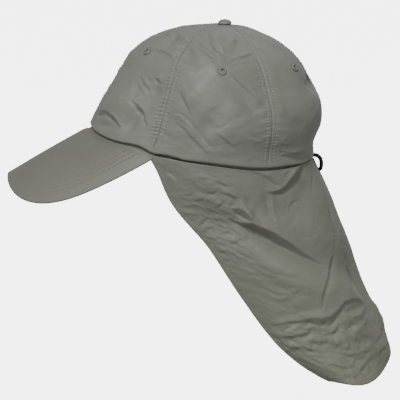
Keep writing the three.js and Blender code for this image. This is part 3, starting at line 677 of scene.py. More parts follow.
# Lower edge of the crown: how far it is turned in, over what height, and the roll above it
RIM_TURN_IN = 0.7
RIM_TURN_HEIGHT = 0.55
RIM_ROLL = 0.2
RIM_ROLL_HEIGHT = 2.2
RIM_ROLL_WIDTH = 2.6

# A panel is thinner along its edges
EDGE_WIDTH = 0.4
EDGE_THINNED = 0.3

# Seams from the front centre to the back centre: how strongly the stitching gathers the cloth along each
SEAM_GATHER = {0: 0.55, 1: 1.0, 2: 0.5, 3: 0.55}

# Section beside a seam: depth and width of its edge, the raised pad, and the stitched groove
SEAM_DEPTH = 0.7
SEAM_EDGE_WIDTH = 0.45
SEAM_PAD = 0.1
SEAM_PAD_MIDDLE = 2.2
SEAM_PAD_WIDTH = 1.5
STITCH_GROOVE = 0.14
GROOVE_WIDTH = 0.8

# Way of a stitched row from its seam, lap of the inner edges there, and pitch of gathers and puckers
STITCH_ROW = 4.7
SEAM_LAP = 0.3
GATHER_PITCH = 3.3
PUCKER_PITCH = 9.5

# Grid lines beside a seam, by their way from it, and the least way that the first may have
SEAM_EDGE_LINES = [0, 0.12, 0.35, 0.7, 1.2, 2.0, 3.0, 3.9, 4.7, 5.5, 6.4, 7.6, 9.2, 11.0]
SEAM_GAP = 0.06


def seam_relief(away, along, seam, hand, bars):
    """The cloth beside a seam: its folded edge, the stitched groove and the small gathers across it."""
    gather = SEAM_GATHER[seam]
    seed = 10 * seam + (5 if hand < 0 else 0)
    edge = -SEAM_DEPTH * bell(away, SEAM_EDGE_WIDTH)
    pad = SEAM_PAD * bell(away - SEAM_PAD_MIDDLE, SEAM_PAD_WIDTH)
    groove = -STITCH_GROOVE * bell(away - STITCH_ROW, GROOVE_WIDTH)
    middle = smoothstep(along, 6, 28) * smoothstep(-along, -150, -110)
    phase = 2 * np.pi * (along / GATHER_PITCH + 0.4 * wander(along, 8, seed + 1) + 0.04 * away)
    ladder = np.sin(phase) * smoothstep(away, 0.4, 1.6) * smoothstep(-away, -8.5, -5)
    ladder = bars * ladder * (0.05 + 0.33 * middle) * (0.7 + 0.9 * wander(along, 6, seed + 2))
    phase = 2 * np.pi * ((along + 0.35 * away) / PUCKER_PITCH + 0.6 * wander(along, 24, seed + 3))
    pucker = np.sin(phase) * bell(away - 8, 6.0)
    pucker = pucker * (0.14 + 0.3 * middle) * (0.7 + 0.7 * wander(along, 17, seed + 4))
    return edge + pad + groove + gather * (ladder + pucker)


# Rows and middle columns of the panels by first seam and hand, and of the plainer ones on the right
PANEL_GRIDS = {(0, 1): (250, 76), (1, 1): (240, 84), (2, 1): (170, 60)}
PLAIN_GRID = (104, 44)

# Rise of the close rows at the crown's edge, columns that measure a row, and the width in millimetres
# under which the lines beside a panel's seams draw together and its gathers fade
LOWEST_ROWS = [0, 0.0015, 0.004, 0.008, 0.014, 0.022]
MEASURING_COLUMNS = 81
NARROW_PANEL = 30


def panel_grid(seam, hand):
    """Turn and rise of a panel's grid, with each point's way from either seam and up the cloth."""
    rows, columns = PANEL_GRIDS.get((seam, hand), PLAIN_GRID)
    rise = np.concatenate([LOWEST_ROWS, np.linspace(0.03, 1, rows)])
    share = np.linspace(0, 1, MEASURING_COLUMNS)
    start, finish = seam_turn(seam, rise), seam_turn(seam + 1, rise)
    dense = start[:, None] + (finish - start)[:, None] * share
    across = ways(crown_form(dense, rise[:, None]), axis=1)
    edge = np.array(SEAM_EDGE_LINES)
    turn, from_first, from_second = [], [], []
    for row in range(len(rise)):
        width = across[row, -1]
        lines = edge * min(1, width / NARROW_PANEL)
        middle = np.linspace(lines[-1], width - lines[-1], columns + 2)[1:-1]
        place = np.concatenate([lines, middle, (width - lines)[::-1]])
        place = np.clip(place, SEAM_GAP, width - SEAM_GAP)
        turn.append(np.interp(place, across[row], dense[row]))
        from_first.append(place)
        from_second.append(width - place)
    turn = hand * np.array(turn)
    rise = np.broadcast_to(rise[:, None], turn.shape)
    return turn, rise, np.array(from_first), np.array(from_second), ways(crown_form(turn, rise))


def on_crown(turn, rise):
    return crown_point(np.asarray(turn, float), np.asarray(rise, float))


EYELET_DIMPLE = 0.35
EYELET_DIMPLE_REACH = 4.4
EYELET_SWELL = 0.2
EYELET_SWELL_REACH = 6.4
EYELET_SWELL_WIDTH = 1.8


def eyelet_relief(away):
    """The cloth drawn in under an eyelet's flange, by the distance from its middle."""
    drawn_in = EYELET_DIMPLE * np.exp(-(away / EYELET_DIMPLE_REACH) ** 4)
    return -drawn_in + EYELET_SWELL * bell(away - EYELET_SWELL_REACH, EYELET_SWELL_WIDTH)


# Turn and rise of the eyelet in each panel, and the panels from the front to the back
EYELETS = {"front": (32.5, 0.59), "side": (98, 0.535), "back": (152, 0.53)}
PANELS = ["front", "side", "back"]

# How far the crown's lower edge stands above its even line, in millimetres, by the turn; and over what
# height the cloth above it follows
RIM_WAVE = np.array([
    (-180, -0.6), (-160, 0.4), (-142, -0.5), (-120, 0.5), (-104, 0.9), (-88, 0.2), (-74, -0.6), (-63, -0.4),
    (-54, 2.6), (-44, 1.6), (-30, 0.3), (0, 0.6), (28, 0.4), (36, 0.9), (43, 2.0), (50, 3.7), (55, 4.0),
    (58, 2.8), (61, 1.2), (64, 0.6), (70, 1.6), (75, 1.0), (79, -0.2), (84, 0.4), (96, 0.7), (120, 0.7),
    (136, 0.6), (144, -0.4), (152, -1.0), (166, -0.6), (180, -0.6),
])
RIM_WAVE_HEIGHT = 13


def rim_drop(turn, up):
    """The crown's lower edge wanders up and down; the cloth above it follows."""
    return np.interp(turn, RIM_WAVE[:, 0], RIM_WAVE[:, 1]) * bell(up, RIM_WAVE_HEIGHT)


# Finished surfaces of the panels, kept for the stitches
surfaces = {}


def crown_surface(seam, hand):
    """Outer face of a panel with its full relief: its grid, plain face, normal and relief."""
    if (seam, hand) in surfaces:
        return surfaces[seam, hand]
    turn, rise, first, second, up = panel_grid(seam, hand)
    plain = crown_point(turn, rise)
    normal = crown_normal(turn, rise)
    relief = crease_relief(plain, normal, CROWN_CREASES, on_crown)
    relief = CREASE_DEPTH * relief + band_relief(plain, normal, CROWN_BANDS, BAND_SLOPE, on_crown)
    relief = relief + band_relief(plain, normal, CROWN_DEEP_BANDS, DEEP_SLOPE, on_crown)
    small = np.minimum((first + second) / NARROW_PANEL, 1)
    across = hand * (first - second) / 2 + 300 * seam
    for facets, height in CROWN_CRUMPLES:
        relief = relief + height * crumple(across, up, *facets)
    relief = relief * smoothstep(np.minimum(first, second), 0, 5)
    relief = relief + small * seam_relief(first, up, seam, hand, 0.5) * (first < second)
    relief = relief + small * seam_relief(second, up, seam + 1, hand, 1.0) * (first >= second)
    spot = EYELETS[PANELS[seam]]
    away = np.linalg.norm(plain - crown_point(hand * spot[0], spot[1]), axis=-1)
    relief = relief * smoothstep(away, 2, 5.5) + eyelet_relief(away)
    relief = relief * smoothstep(up, -1, 9) - RIM_TURN_IN * bell(up, RIM_TURN_HEIGHT)
    relief = relief + RIM_ROLL * bell(up - RIM_ROLL_HEIGHT, RIM_ROLL_WIDTH)
    plain = plain + np.array([0, 0, 1]) * rim_drop(turn, up)[..., None]
    surfaces[seam, hand] = (turn, rise, first, second, up, plain, normal, relief)
    return surfaces[seam, hand]


def new_wall(name, outer, inner, across, up):
    """A closed piece of cloth from its two faces and each point's place on the cloth."""
    uv = np.stack([across, up], axis=-1)
    piece = new_piece(name, np.stack([outer, inner]), shell_faces(*across.shape), np.stack([uv, uv]))
    face_outwards(piece)
    return piece


def make_panel(seam, hand):
    _, _, first, second, up, plain, normal, relief = crown_surface(seam, hand)
    outer = plain + normal * relief[..., None]
    edge = bell(np.minimum(first, second), EDGE_WIDTH) + bell(up, EDGE_WIDTH)
    inner = outer - normal * (CROWN_CLOTH - EDGE_THINNED * np.minimum(edge, 1))[..., None]
    inner[:, 0] += SEAM_LAP * unit(outer[:, 0] - outer[:, 3])
    inner[:, -1] += SEAM_LAP * unit(outer[:, -1] - outer[:, -4])
    across = (first - (first + second) / 2) * hand
    return new_wall(f"crown_{PANELS[seam]}_{'left' if hand > 0 else 'right'}", outer, inner, across, up)


# Neck flap

# Creases of the flap: a line of (side, down), then as for the crown
FLAP_CREASES = [
    ([(0.98, 0.28), (0.8, 0.25), (0.6, 0.22), (0.44, 0.2), (0.3, 0.19)], -9.0, 24.0, 26.0, 0.0),
    ([(0.735, 0.215), (0.696, 0.25), (0.664, 0.278), (0.62, 0.305), (0.576, 0.338), (0.54, 0.376),
      (0.49, 0.425)], 3.0, 12.0, 4.5, 0.15),
    ([(0.824, 0.25), (0.77, 0.268), (0.722, 0.295), (0.684, 0.336), (0.648, 0.38), (0.596, 0.414),
      (0.542, 0.442), (0.474, 0.468), (0.4, 0.497)], -3.0, 4.5, 9.0, 0.35),
    ([(0.3, 0.44), (0.34, 0.475), (0.382, 0.524), (0.45, 0.565), (0.512, 0.602), (0.588, 0.678)],
     -1.8, 3.0, 3.0, 0.5),
    ([(0.27, 0.46), (0.33, 0.51), (0.4, 0.57), (0.47, 0.62)], 1.4, 6.0, 6.0, 0.1),
    ([(0.235, 0.01), (0.3, 0.045), (0.356, 0.078), (0.424, 0.118), (0.484, 0.137), (0.53, 0.12)],
     -1.8, 2.6, 3.6, 0.5),
    ([(0.2, 0.02), (0.27, 0.075), (0.35, 0.125), (0.44, 0.165)], 1.4, 6.0, 6.0, 0.0),
    ([(0.125, 0.012), (0.165, 0.05), (0.204, 0.088), (0.256, 0.154)], -0.7, 1.6, 1.6, 0.7),
    ([(0.73, 0.185), (0.7, 0.205), (0.684, 0.238)], -2.2, 5.0, 5.0, 0.1),
    ([(0.79, 0.048), (0.765, 0.055), (0.742, 0.066), (0.698, 0.092)], -0.9, 2.0, 3.0, 0.5),
    ([(0.84, 0.09), (0.81, 0.088), (0.785, 0.09)], -0.7, 1.8, 2.4, 0.5),
    ([(0.91, 0.168), (0.852, 0.164), (0.8, 0.146), (0.756, 0.134)], -0.8, 2.0, 2.6, 0.5),
    ([(0.755, 0.138), (0.72, 0.155), (0.69, 0.175)], -1.0, 2.2, 2.6, 0.5),
    ([(0.86, 0.2), (0.835, 0.215), (0.81, 0.24), (0.79, 0.252)], -0.9, 2.0, 2.6, 0.5),
    ([(0.99, 0.285), (0.95, 0.272), (0.915, 0.255)], -0.7, 1.8, 2.4, 0.5),
    ([(0.93, 0.306), (0.86, 0.285), (0.786, 0.262)], -0.7, 2.0, 2.6, 0.4),
    ([(0.985, 0.366), (0.93, 0.352), (0.872, 0.336)], -0.7, 2.0, 2.6, 0.5),
    ([(0.962, 0.402), (0.89, 0.38), (0.816, 0.356)], -0.8, 2.0, 2.6, 0.5),
    ([(0.982, 0.452), (0.93, 0.435), (0.872, 0.42)], -0.6, 2.0, 2.4, 0.5),
    ([(0.77, 0.382), (0.71, 0.374), (0.658, 0.366)], -0.6, 2.0, 2.6, 0.4),
    ([(0.77, 0.612), (0.7, 0.602), (0.644, 0.59)], -0.8, 2.0, 2.6, 0.4),
    ([(0.9, 0.69), (0.82, 0.68), (0.74, 0.668), (0.63, 0.665), (0.54, 0.66)], -1.2, 4.0, 3.0, 0.3),
    ([(0.5, 0.25), (0.42, 0.3), (0.34, 0.37), (0.28, 0.44)], 1.2, 8.0, 8.0, 0.0),
    ([(0.56, 0.1), (0.58, 0.17), (0.58, 0.24)], 1.2, 7.0, 7.0, 0.0),
    ([(0.2, 0.3), (0.26, 0.38), (0.3, 0.44)], -0.9, 3.0, 5.0, 0.2),
    ([(-0.74, 0.2), (-0.66, 0.3), (-0.55, 0.38), (-0.42, 0.45)], -2.6, 6.0, 5.0, 0.3),
    ([(-0.72, 0.16), (-0.62, 0.25), (-0.5, 0.32)], 2.2, 8.0, 8.0, 0.0),
    ([(-0.24, 0.02), (-0.32, 0.08), (-0.42, 0.13), (-0.5, 0.12)], -1.6, 3.4, 3.0, 0.5),
    ([(-0.3, 0.44), (-0.36, 0.54), (-0.42, 0.64)], -1.5, 3.0, 3.0, 0.4),
    ([(-0.9, 0.3), (-0.82, 0.28), (-0.74, 0.26)], -0.8, 2.4, 2.4, 0.5),
    ([(-0.94, 0.42), (-0.86, 0.4), (-0.78, 0.37)], -0.8, 2.4, 2.4, 0.5),
    ([(-0.8, 0.1), (-0.74, 0.12), (-0.68, 0.15)], -0.8, 2.4, 2.4, 0.5),
    ([(-0.86, 0.68), (-0.74, 0.66), (-0.62, 0.67)], -1.1, 3.0, 3.0, 0.3),
    ([(-0.1, 0.2), (-0.12, 0.36), (-0.08, 0.5)], -0.9, 5.0, 5.0, 0.1),
    ([(0.02, 0.55), (0.0, 0.68), (0.05, 0.78)], 0.9, 5.0, 5.0, 0.1),
]

# Steps of the flap's cloth: each a line of (side, down, half width in millimetres); the steepest come first
FLAP_DEEP_BANDS = [
    [(0.796, 0.25, 0.5), (0.77, 0.266, 1), (0.746, 0.282, 1.5), (0.726, 0.29, 2.7), (0.7, 0.292, 3.8),
     (0.668, 0.314, 4.2), (0.632, 0.336, 4.2), (0.602, 0.366, 4), (0.564, 0.394, 3.1), (0.524, 0.426, 2.3),
     (0.478, 0.454, 1.7), (0.44, 0.478, 1.1), (0.4, 0.496, 0.4)],
    [(0.732, 0.21, 0.5), (0.708, 0.22, 3.2), (0.688, 0.24, 3), (0.674, 0.264, 0.7)],
    [(0.534, 0.12, 0.4), (0.502, 0.128, 1.4), (0.464, 0.126, 2.1), (0.42, 0.11, 2.4), (0.372, 0.08, 3),
     (0.316, 0.046, 4), (0.262, 0.018, 4.4), (0.235, -0.002, 2)],
]
FLAP_BANDS = [
    [(0.406, 0.046, 0.4), (0.378, 0.03, 1.4), (0.34, 0.014, 0.5)],
    [(0.368, 0.104, 0.3), (0.314, 0.072, 1.2), (0.27, 0.04, 0.4)],
    [(0.758, 0.076, 0.3), (0.732, 0.084, 1.2), (0.714, 0.096, 1.2), (0.694, 0.092, 0.2)],
    [(0.74, 0.136, 0.3), (0.712, 0.144, 1.4), (0.69, 0.154, 1.1), (0.672, 0.16, 0.2)],
    [(0.818, 0.07, 0.3), (0.792, 0.072, 0.9), (0.766, 0.072, 0.3)],
    [(0.942, 0.166, 0.2), (0.89, 0.156, 0.8), (0.852, 0.138, 0.3)],
    [(0.89, 0.184, 0.4), (0.854, 0.176, 1.2), (0.816, 0.158, 0.4)],
    [(0.812, 0.14, 0.3), (0.78, 0.14, 1.2), (0.754, 0.128, 0.3)],
    [(0.858, 0.214, 0.5), (0.834, 0.232, 1.4), (0.806, 0.236, 0.5)],
    [(0.81, 0.21, 0.4), (0.77, 0.192, 1.4), (0.746, 0.174, 0.4)],
    [(0.964, 0.306, 0.3), (0.91, 0.278, 1.4), (0.87, 0.26, 0.4)],
    [(0.97, 0.328, 0.3), (0.928, 0.314, 1.2), (0.89, 0.308, 0.3)],
    [(0.88, 0.336, 0.4), (0.842, 0.326, 1.2), (0.816, 0.32, 0.3)],
    [(0.876, 0.378, 0.3), (0.842, 0.368, 1.4), (0.804, 0.356, 0.7), (0.746, 0.35, 0.3)],
    [(0.98, 0.418, 0.3), (0.934, 0.406, 0.9), (0.882, 0.398, 0.4)],
    [(0.786, 0.402, 0.3), (0.766, 0.39, 0.9), (0.74, 0.378, 0.3)],
    [(0.724, 0.398, 0.3), (0.69, 0.396, 0.7), (0.652, 0.396, 0.3)],
    [(0.96, 0.446, 0.3), (0.936, 0.442, 1), (0.906, 0.434, 0.3)],
    [(0.7, 0.572, 0.2), (0.672, 0.58, 0.8), (0.622, 0.566, 0.3)],
    [(0.782, 0.604, 0.2), (0.736, 0.604, 0.7), (0.688, 0.606, 0.3)],
    [(0.962, 0.348, 0.3), (0.934, 0.356, 0.9), (0.89, 0.348, 0.3)],
    [(0.942, 0.208, 0.3), (0.92, 0.214, 0.7), (0.882, 0.202, 0.3)],
    [(0.97, 0.066, -0.3), (0.942, 0.078, -1.3), (0.918, 0.102, -0.4)],
    [(0.442, 0.198, 0.3), (0.408, 0.184, 1.2), (0.366, 0.178, 0.3)],
    [(0.464, 0.224, 0.3), (0.442, 0.208, 0.6), (0.422, 0.196, 0.3)],
    [(0.584, 0.678, 0.3), (0.554, 0.646, 0.8), (0.516, 0.6, 1.1), (0.482, 0.568, 1.4), (0.418, 0.536, 1.7),
     (0.368, 0.508, 2.1), (0.336, 0.484, 2.1), (0.302, 0.448, 0.7)],
    [(0.298, 0.44, 0.5), (0.266, 0.402, 1), (0.226, 0.364, 0.3)],
    [(0.27, 0.17, 0.3), (0.224, 0.12, 0.9), (0.178, 0.07, 1), (0.138, 0.024, 0.4)],
    [(0.966, 0.722, 0.3), (0.882, 0.716, 0.8), (0.808, 0.708, 1.4), (0.73, 0.708, 1.5), (0.666, 0.708, 2.6),
     (0.612, 0.722, 3.8), (0.556, 0.726, 4.2), (0.486, 0.702, 2.8), (0.418, 0.672, 2), (0.344, 0.676, 1.4),
     (0.242, 0.702, 1.2), (0.164, 0.732, 0.5)],
    [(0.91, 0.782, 0.4), (0.87, 0.778, 1.1), (0.822, 0.776, 1.4), (0.776, 0.776, 2.2), (0.726, 0.766, 1.4),
     (0.696, 0.754, 0.4)],
    [(0.766, 0.802, 0.5), (0.736, 0.806, 2.3), (0.7, 0.816, 2.7), (0.656, 0.816, 1.4), (0.62, 0.804, 0.5)],
    [(0.596, 0.788, 0.5), (0.57, 0.788, 1.4), (0.534, 0.772, 1.4), (0.512, 0.75, 0.4)],
    [(0.578, 0.862, 0.4), (0.55, 0.878, 1.6), (0.5, 0.884, 1.4), (0.45, 0.884, 0.8), (0.41, 0.886, 0.3)],
    [(0.752, 0.894, 0.3), (0.714, 0.904, 1), (0.662, 0.92, 1.3), (0.596, 0.922, 1), (0.528, 0.918, 0.3)],
    [(0.934, 0.844, 0.4), (0.874, 0.828, 1.1), (0.82, 0.822, 1.1), (0.802, 0.834, 1.4), (0.776, 0.848, 0.5)],
    [(0.672, 0.938, 0.5), (0.66, 0.95, 2), (0.654, 0.972, 1.4)],
    [(0.612, 0.84, 0.4), (0.574, 0.828, 1.1), (0.542, 0.818, 0.4)],
    [(0.564, 0.864, 0.4), (0.526, 0.85, 1.3), (0.496, 0.834, 0.5)],
    [(0.562, 0.91, 0.4), (0.512, 0.896, 1.4), (0.464, 0.898, 1.3), (0.408, 0.894, 0.5)],
    [(0.802, 0.856, 0.3), (0.774, 0.866, 1.2), (0.734, 0.874, 0.4)],
    [(0.98, 0.762, 0.4), (0.952, 0.782, 1.3), (0.94, 0.804, 0.5)],
    [(0.992, 0.85, 0.4), (0.942, 0.84, 1.2), (0.886, 0.818, 0.4)],
    [(0.556, 0.946, 0.5), (0.498, 0.934, 1.4), (0.44, 0.926, 1.3), (0.38, 0.918, 0.5)],
    [(0.428, 0.932, 0.4), (0.43, 0.958, 1.1), (0.414, 0.982, 0.5)],
    [(0.452, 0.714, -0.5), (0.408, 0.728, -2.7), (0.35, 0.732, -3.1), (0.232, 0.734, -1.1)],
    [(0.494, 0.798, -0.7), (0.444, 0.8, -2.7), (0.38, 0.798, -2.3), (0.31, 0.786, -0.7)],
    [(0.868, 0.75, -0.5), (0.82, 0.738, -2), (0.77, 0.726, -0.7)],
    [(0.738, 0.74, -0.5), (0.696, 0.734, -1.4), (0.658, 0.732, -0.5)],
    [(0.932, 0.81, -0.5), (0.882, 0.81, -2.2), (0.846, 0.812, -0.5)],
    [(0.776, 0.832, -0.5), (0.74, 0.824, -1.4), (0.702, 0.818, -0.4)],
    [(0.556, 0.004, 0.5), (0.492, 0.046, 2.2), (0.448, 0.094, 0.9)],
    [(0.668, 0.154, -0.4), (0.656, 0.188, -2), (0.65, 0.24, -2.2), (0.634, 0.278, -0.5)],
    [(0.536, 0.1, 0.5), (0.534, 0.164, 2.2), (0.556, 0.226, 2), (0.56, 0.27, 0.5)],
    [(0.156, 0.244, 0.5), (0.184, 0.302, 1.8), (0.184, 0.366, 1.8), (0.19, 0.43, 0.5)],
    [(0.248, 0.464, 0.4), (0.184, 0.522, -1.8), (0.232, 0.594, -2), (0.334, 0.646, -0.5)],
]

# Where the flap is slack and crumpled: middle along side and down, reach both ways, facet width and height
# with their lean, and how high they stand
FLAP_CRUMPLES = [
    ((0.84, 0.26), (0.2, 0.2), (9.5, 5.0, -8), 0.62),
    ((0.9, 0.12), (0.2, 0.1), (10, 6, 10), 0.4),
    ((0.72, 0.8), (0.34, 0.12), (12, 6.5, 24), 0.95),
    ((0.62, 0.87), (0.42, 0.09), (7.5, 5, 10), 0.6),
    ((0.28, 0.84), (0.3, 0.12), (13, 9, 30), 1.1),
    ((0.06, 0.86), (0.16, 0.1), (10, 8, 60), 0.8),
    ((0.76, 0.56), (0.3, 0.14), (13, 7, 8), 0.42),
    ((0.36, 0.56), (0.24, 0.12), (20, 12, -50), 0.45),
    ((0.3, 0.28), (0.36, 0.2), (24, 13, 62), 0.4),
    ((-0.84, 0.3), (0.2, 0.26), (10, 6, 8), 0.6),
    ((-0.7, 0.82), (0.36, 0.14), (13, 8, -20), 0.9),
    ((-0.24, 0.84), (0.3, 0.14), (12, 9, -30), 0.9),
    ((-0.4, 0.4), (0.46, 0.3), (24, 13, -50), 0.55),
]


def flap_crumple(side, down, across, below):
    relief = np.zeros_like(across)
    for number, (middle, reach, facets, height) in enumerate(FLAP_CRUMPLES):
        u, v = (side - middle[0]) / reach[0], (down - middle[1]) / reach[1]
        edge = 0.35 * soft_noise(6 * side + 20, 6 * down + 20, 80 + number)
        mask = smoothstep(-np.sqrt(u * u + v * v) + edge, -1.25, -0.55)
        relief += height * mask * crumple(across + FAR, below + FAR, *facets, 100 + 7 * number)
    return relief


# Share of the flap's creases' height that is used, and how steep the two sets of bands are
FLAP_DEPTH = 0.4
FLAP_BAND_SLOPE = 0.62
FLAP_DEEP_SLOPE = 0.95

# The recess under the crown's lower edge: how deep it is, where it starts and how soon it is full
RIM_SHADOW = 4.2
RIM_SHADOW_DROP = 0.3
RIM_SHADOW_STEP = 0.9

# Hems: width along the bottom and up the sides, how high the doubled cloth stands, how soon it is reached,
# and how deep the stitching lies
HEM_WIDTH = 9.0
HEM_HEIGHT = 0.22
SIDE_HEM = 5.0
SIDE_HEM_HEIGHT = 0.2
HEM_STEP = 0.3
HEM_GROOVE = 0.3
SIDE_HEM_GROOVE = 0.22

# Fine facets all over the flap, and those that the stitching drags along the hem and pulls along the sides:
# facet width and height, lean, seed and stray, then how high they stand; and the slow sway of the cloth
FINE_FACETS = (7, 5, 20, 55)
FINE_HEIGHT = 0.2
DRAG_FACETS = (5.5, 14, 24, 71, 0.8)
DRAG_HEIGHT = 0.4
PULL_FACETS = (9, 5.5, 18, 73, 0.8)
PULL_HEIGHT = 0.3
SWAY_HEIGHT = 0.6
SWAY_WIDTH = 34
SWAY_SEED = 75

# The flap's cloth, and how much thinner it is along its edges
FLAP_CLOTH = 1.0
FLAP_EDGE_WIDTH = 0.5
FLAP_EDGE_THINNED = 0.35


def on_flap(side, down):
    return flap_point(np.asarray(side, float), np.asarray(down, float))


# Rows of the grid under the crown's edge, in millimetres, and its columns at the flap's edges
RECESS_ROWS = [0, 0.25, 0.45, 0.6, 0.75, 0.9, 1.05, 1.25, 1.7, 2.4, 3.3, 4.2]
FLAP_EDGE_LINES = [0, 0.0015, 0.004, 0.009, 0.016, 0.023, 0.029, 0.034, 0.039, 0.045]


def flap_grid():
    hem = HEM_WIDTH / FLAP_DROP
    down = np.concatenate([
        np.linspace(-1, -0.2, 4), [-0.002],
        np.array(RECESS_ROWS) / FLAP_DROP,
        np.linspace(0.029, 1 - hem - 0.01, 158),
        1 - hem + np.array([-0.006, -0.003, 0.0, 0.003, 0.007]),
        np.linspace(1 - hem + 0.012, 0.985, 7), [0.991, 0.996, 1.0],
    ])
    edge = np.array(FLAP_EDGE_LINES)
    right, left = np.linspace(-0.948, 0.0, 70), np.linspace(0.0, 0.95, 166)[1:]
    side = np.concatenate([-1 + edge, right, left, (1 - edge)[::-1]])
    return np.meshgrid(side, down)


# The top corners reach further to the front than the part's form: how far, and over what share of the drop
FLAP_TOP_FORWARD = 0.022
FLAP_TOP_HEIGHT = 0.06


def make_flap():
    side, down = flap_grid()
    hung = np.maximum(down, 0)
    forward = side * (1 + FLAP_TOP_FORWARD * bell(hung, FLAP_TOP_HEIGHT))
    plain = flap_point(forward, down)
    normal = flap_normal(side, hung)
    across = ways(plain, axis=1)
    across = across - across[:, side[0].searchsorted(0.0)][:, None]
    below = ways(plain)
    to_hem = below[-1] - below
    to_edge = np.minimum(across - across[:, :1], across[:, -1:] - across)
    free = smoothstep(down, 0, 0.03)
    relief = FLAP_DEPTH * crease_relief(plain, normal, FLAP_CREASES, on_flap)
    relief = relief + band_relief(plain, normal, FLAP_DEEP_BANDS, FLAP_DEEP_SLOPE, on_flap)
    relief = relief + band_relief(plain, normal, FLAP_BANDS, FLAP_BAND_SLOPE, on_flap)
    relief = relief + flap_crumple(side, hung, across, below)
    relief = relief + FINE_HEIGHT * crumple(across + FAR, below + FAR, *FINE_FACETS)
    relief = relief * free * (0.25 + 0.75 * smoothstep(to_hem, 0, 12)) * smoothstep(to_edge, 0, 7)
    hem = HEM_HEIGHT * smoothstep(-to_hem, -HEM_WIDTH - HEM_STEP, -HEM_WIDTH + HEM_STEP)
    side_hem = SIDE_HEM_HEIGHT * smoothstep(-to_edge, -SIDE_HEM - HEM_STEP, -SIDE_HEM + HEM_STEP)
    hem = hem + side_hem * smoothstep(down, 0.0, 0.02)
    hem = hem - HEM_GROOVE * bell(to_hem - HEM_WIDTH + 1.1, 0.7)
    hem = hem - SIDE_HEM_GROOVE * free * bell(to_edge - SIDE_HEM + 0.9, 0.6)
    drag = crumple(across + FAR, to_hem, *DRAG_FACETS) * bell(to_hem - 8, 7.0)
    pull = crumple(to_edge, below, *PULL_FACETS) * free * bell(to_edge - 5, 5.0)
    ground = soft_noise(across / SWAY_WIDTH + 9, below / SWAY_WIDTH, SWAY_SEED)
    sway = free * smoothstep(to_hem, -2, 10) * SWAY_HEIGHT * ground
    relief = relief + hem + DRAG_HEIGHT * drag + PULL_HEIGHT * pull + sway
    recess = smoothstep(-down * FLAP_DROP, -RIM_SHADOW_DROP - RIM_SHADOW_STEP, -RIM_SHADOW_DROP)
    relief = relief - RIM_SHADOW * recess
    thin = bell(to_edge, FLAP_EDGE_WIDTH) + bell(to_hem, FLAP_EDGE_WIDTH)
    thinned = FLAP_EDGE_THINNED * np.minimum(thin, 1)
    relief = relief - thinned * free
    outer = plain + normal * relief[..., None]
    inner = outer - normal * (FLAP_CLOTH - thinned)[..., None]
    return new_wall("neck_flap_cloth", outer, inner, across, -below)


# Brim

# Stitched rows by their way from the free edge, the rounding of that edge, the dip where the root passes
# under the crown, how far the hidden root turns up, how far the ends reach back, and how deep the rows lie
BRIM_ROWS_FROM_EDGE = [11.0, 15.2, 19.6]
BRIM_INSET = 1.3
BRIM_DIP = 2.8
BRIM_DIP_WIDTH = 3.2
BRIM_TURN_UP = 5.0
BRIM_TURN_UP_WIDTH = 2.2
BRIM_END_REACH = 2.2
BRIM_END_SLANT = 6.0
BRIM_END_POWER = 14
BRIM_GROOVE = 0.07
BRIM_GROOVE_MORE = 0.23
BRIM_GROOVE_FROM = 95
BRIM_GROOVE_TO = 130
BACKWARDS = np.array([0, 1, 0])
UPWARDS = np.array([0, 0, 1])


def brim_stations(count):
    """Places across the brim whose points on the free edge are evenly spaced."""
    outwards, inwards = np.linspace(0, 0.06, 400), np.linspace(0.06, 0, 400)
    dense = np.concatenate([-1 + outwards, np.linspace(-0.94, 0.94, 1600), 1 - inwards])
    way = ways(brim_top(dense, np.ones_like(dense)))
    return np.interp(np.linspace(0, way[-1], count), way, dense)


def from_edge(points):
    """Distance of points of the brim from its free edge."""
    edge = brim_top(*np.broadcast_arrays(brim_stations(260), 1.0))
    flat = points.reshape(-1, 3)
    best = np.full(len(flat), 1e9)
    for k in range(len(edge) - 1):
        way = edge[k + 1] - edge[k]
        along = np.clip(((flat - edge[k]) @ way) / (way @ way), 0, 1)
        best = np.minimum(best, np.linalg.norm(flat - edge[k] - along[:, None] * way, axis=1))
    return best.reshape(points.shape[:-1])


def brim_groove(points):
    """How deep the stitched rows lie: deepest round the tip."""
    return BRIM_GROOVE + BRIM_GROOVE_MORE * smoothstep(-points[..., 1], BRIM_GROOVE_FROM, BRIM_GROOVE_TO)


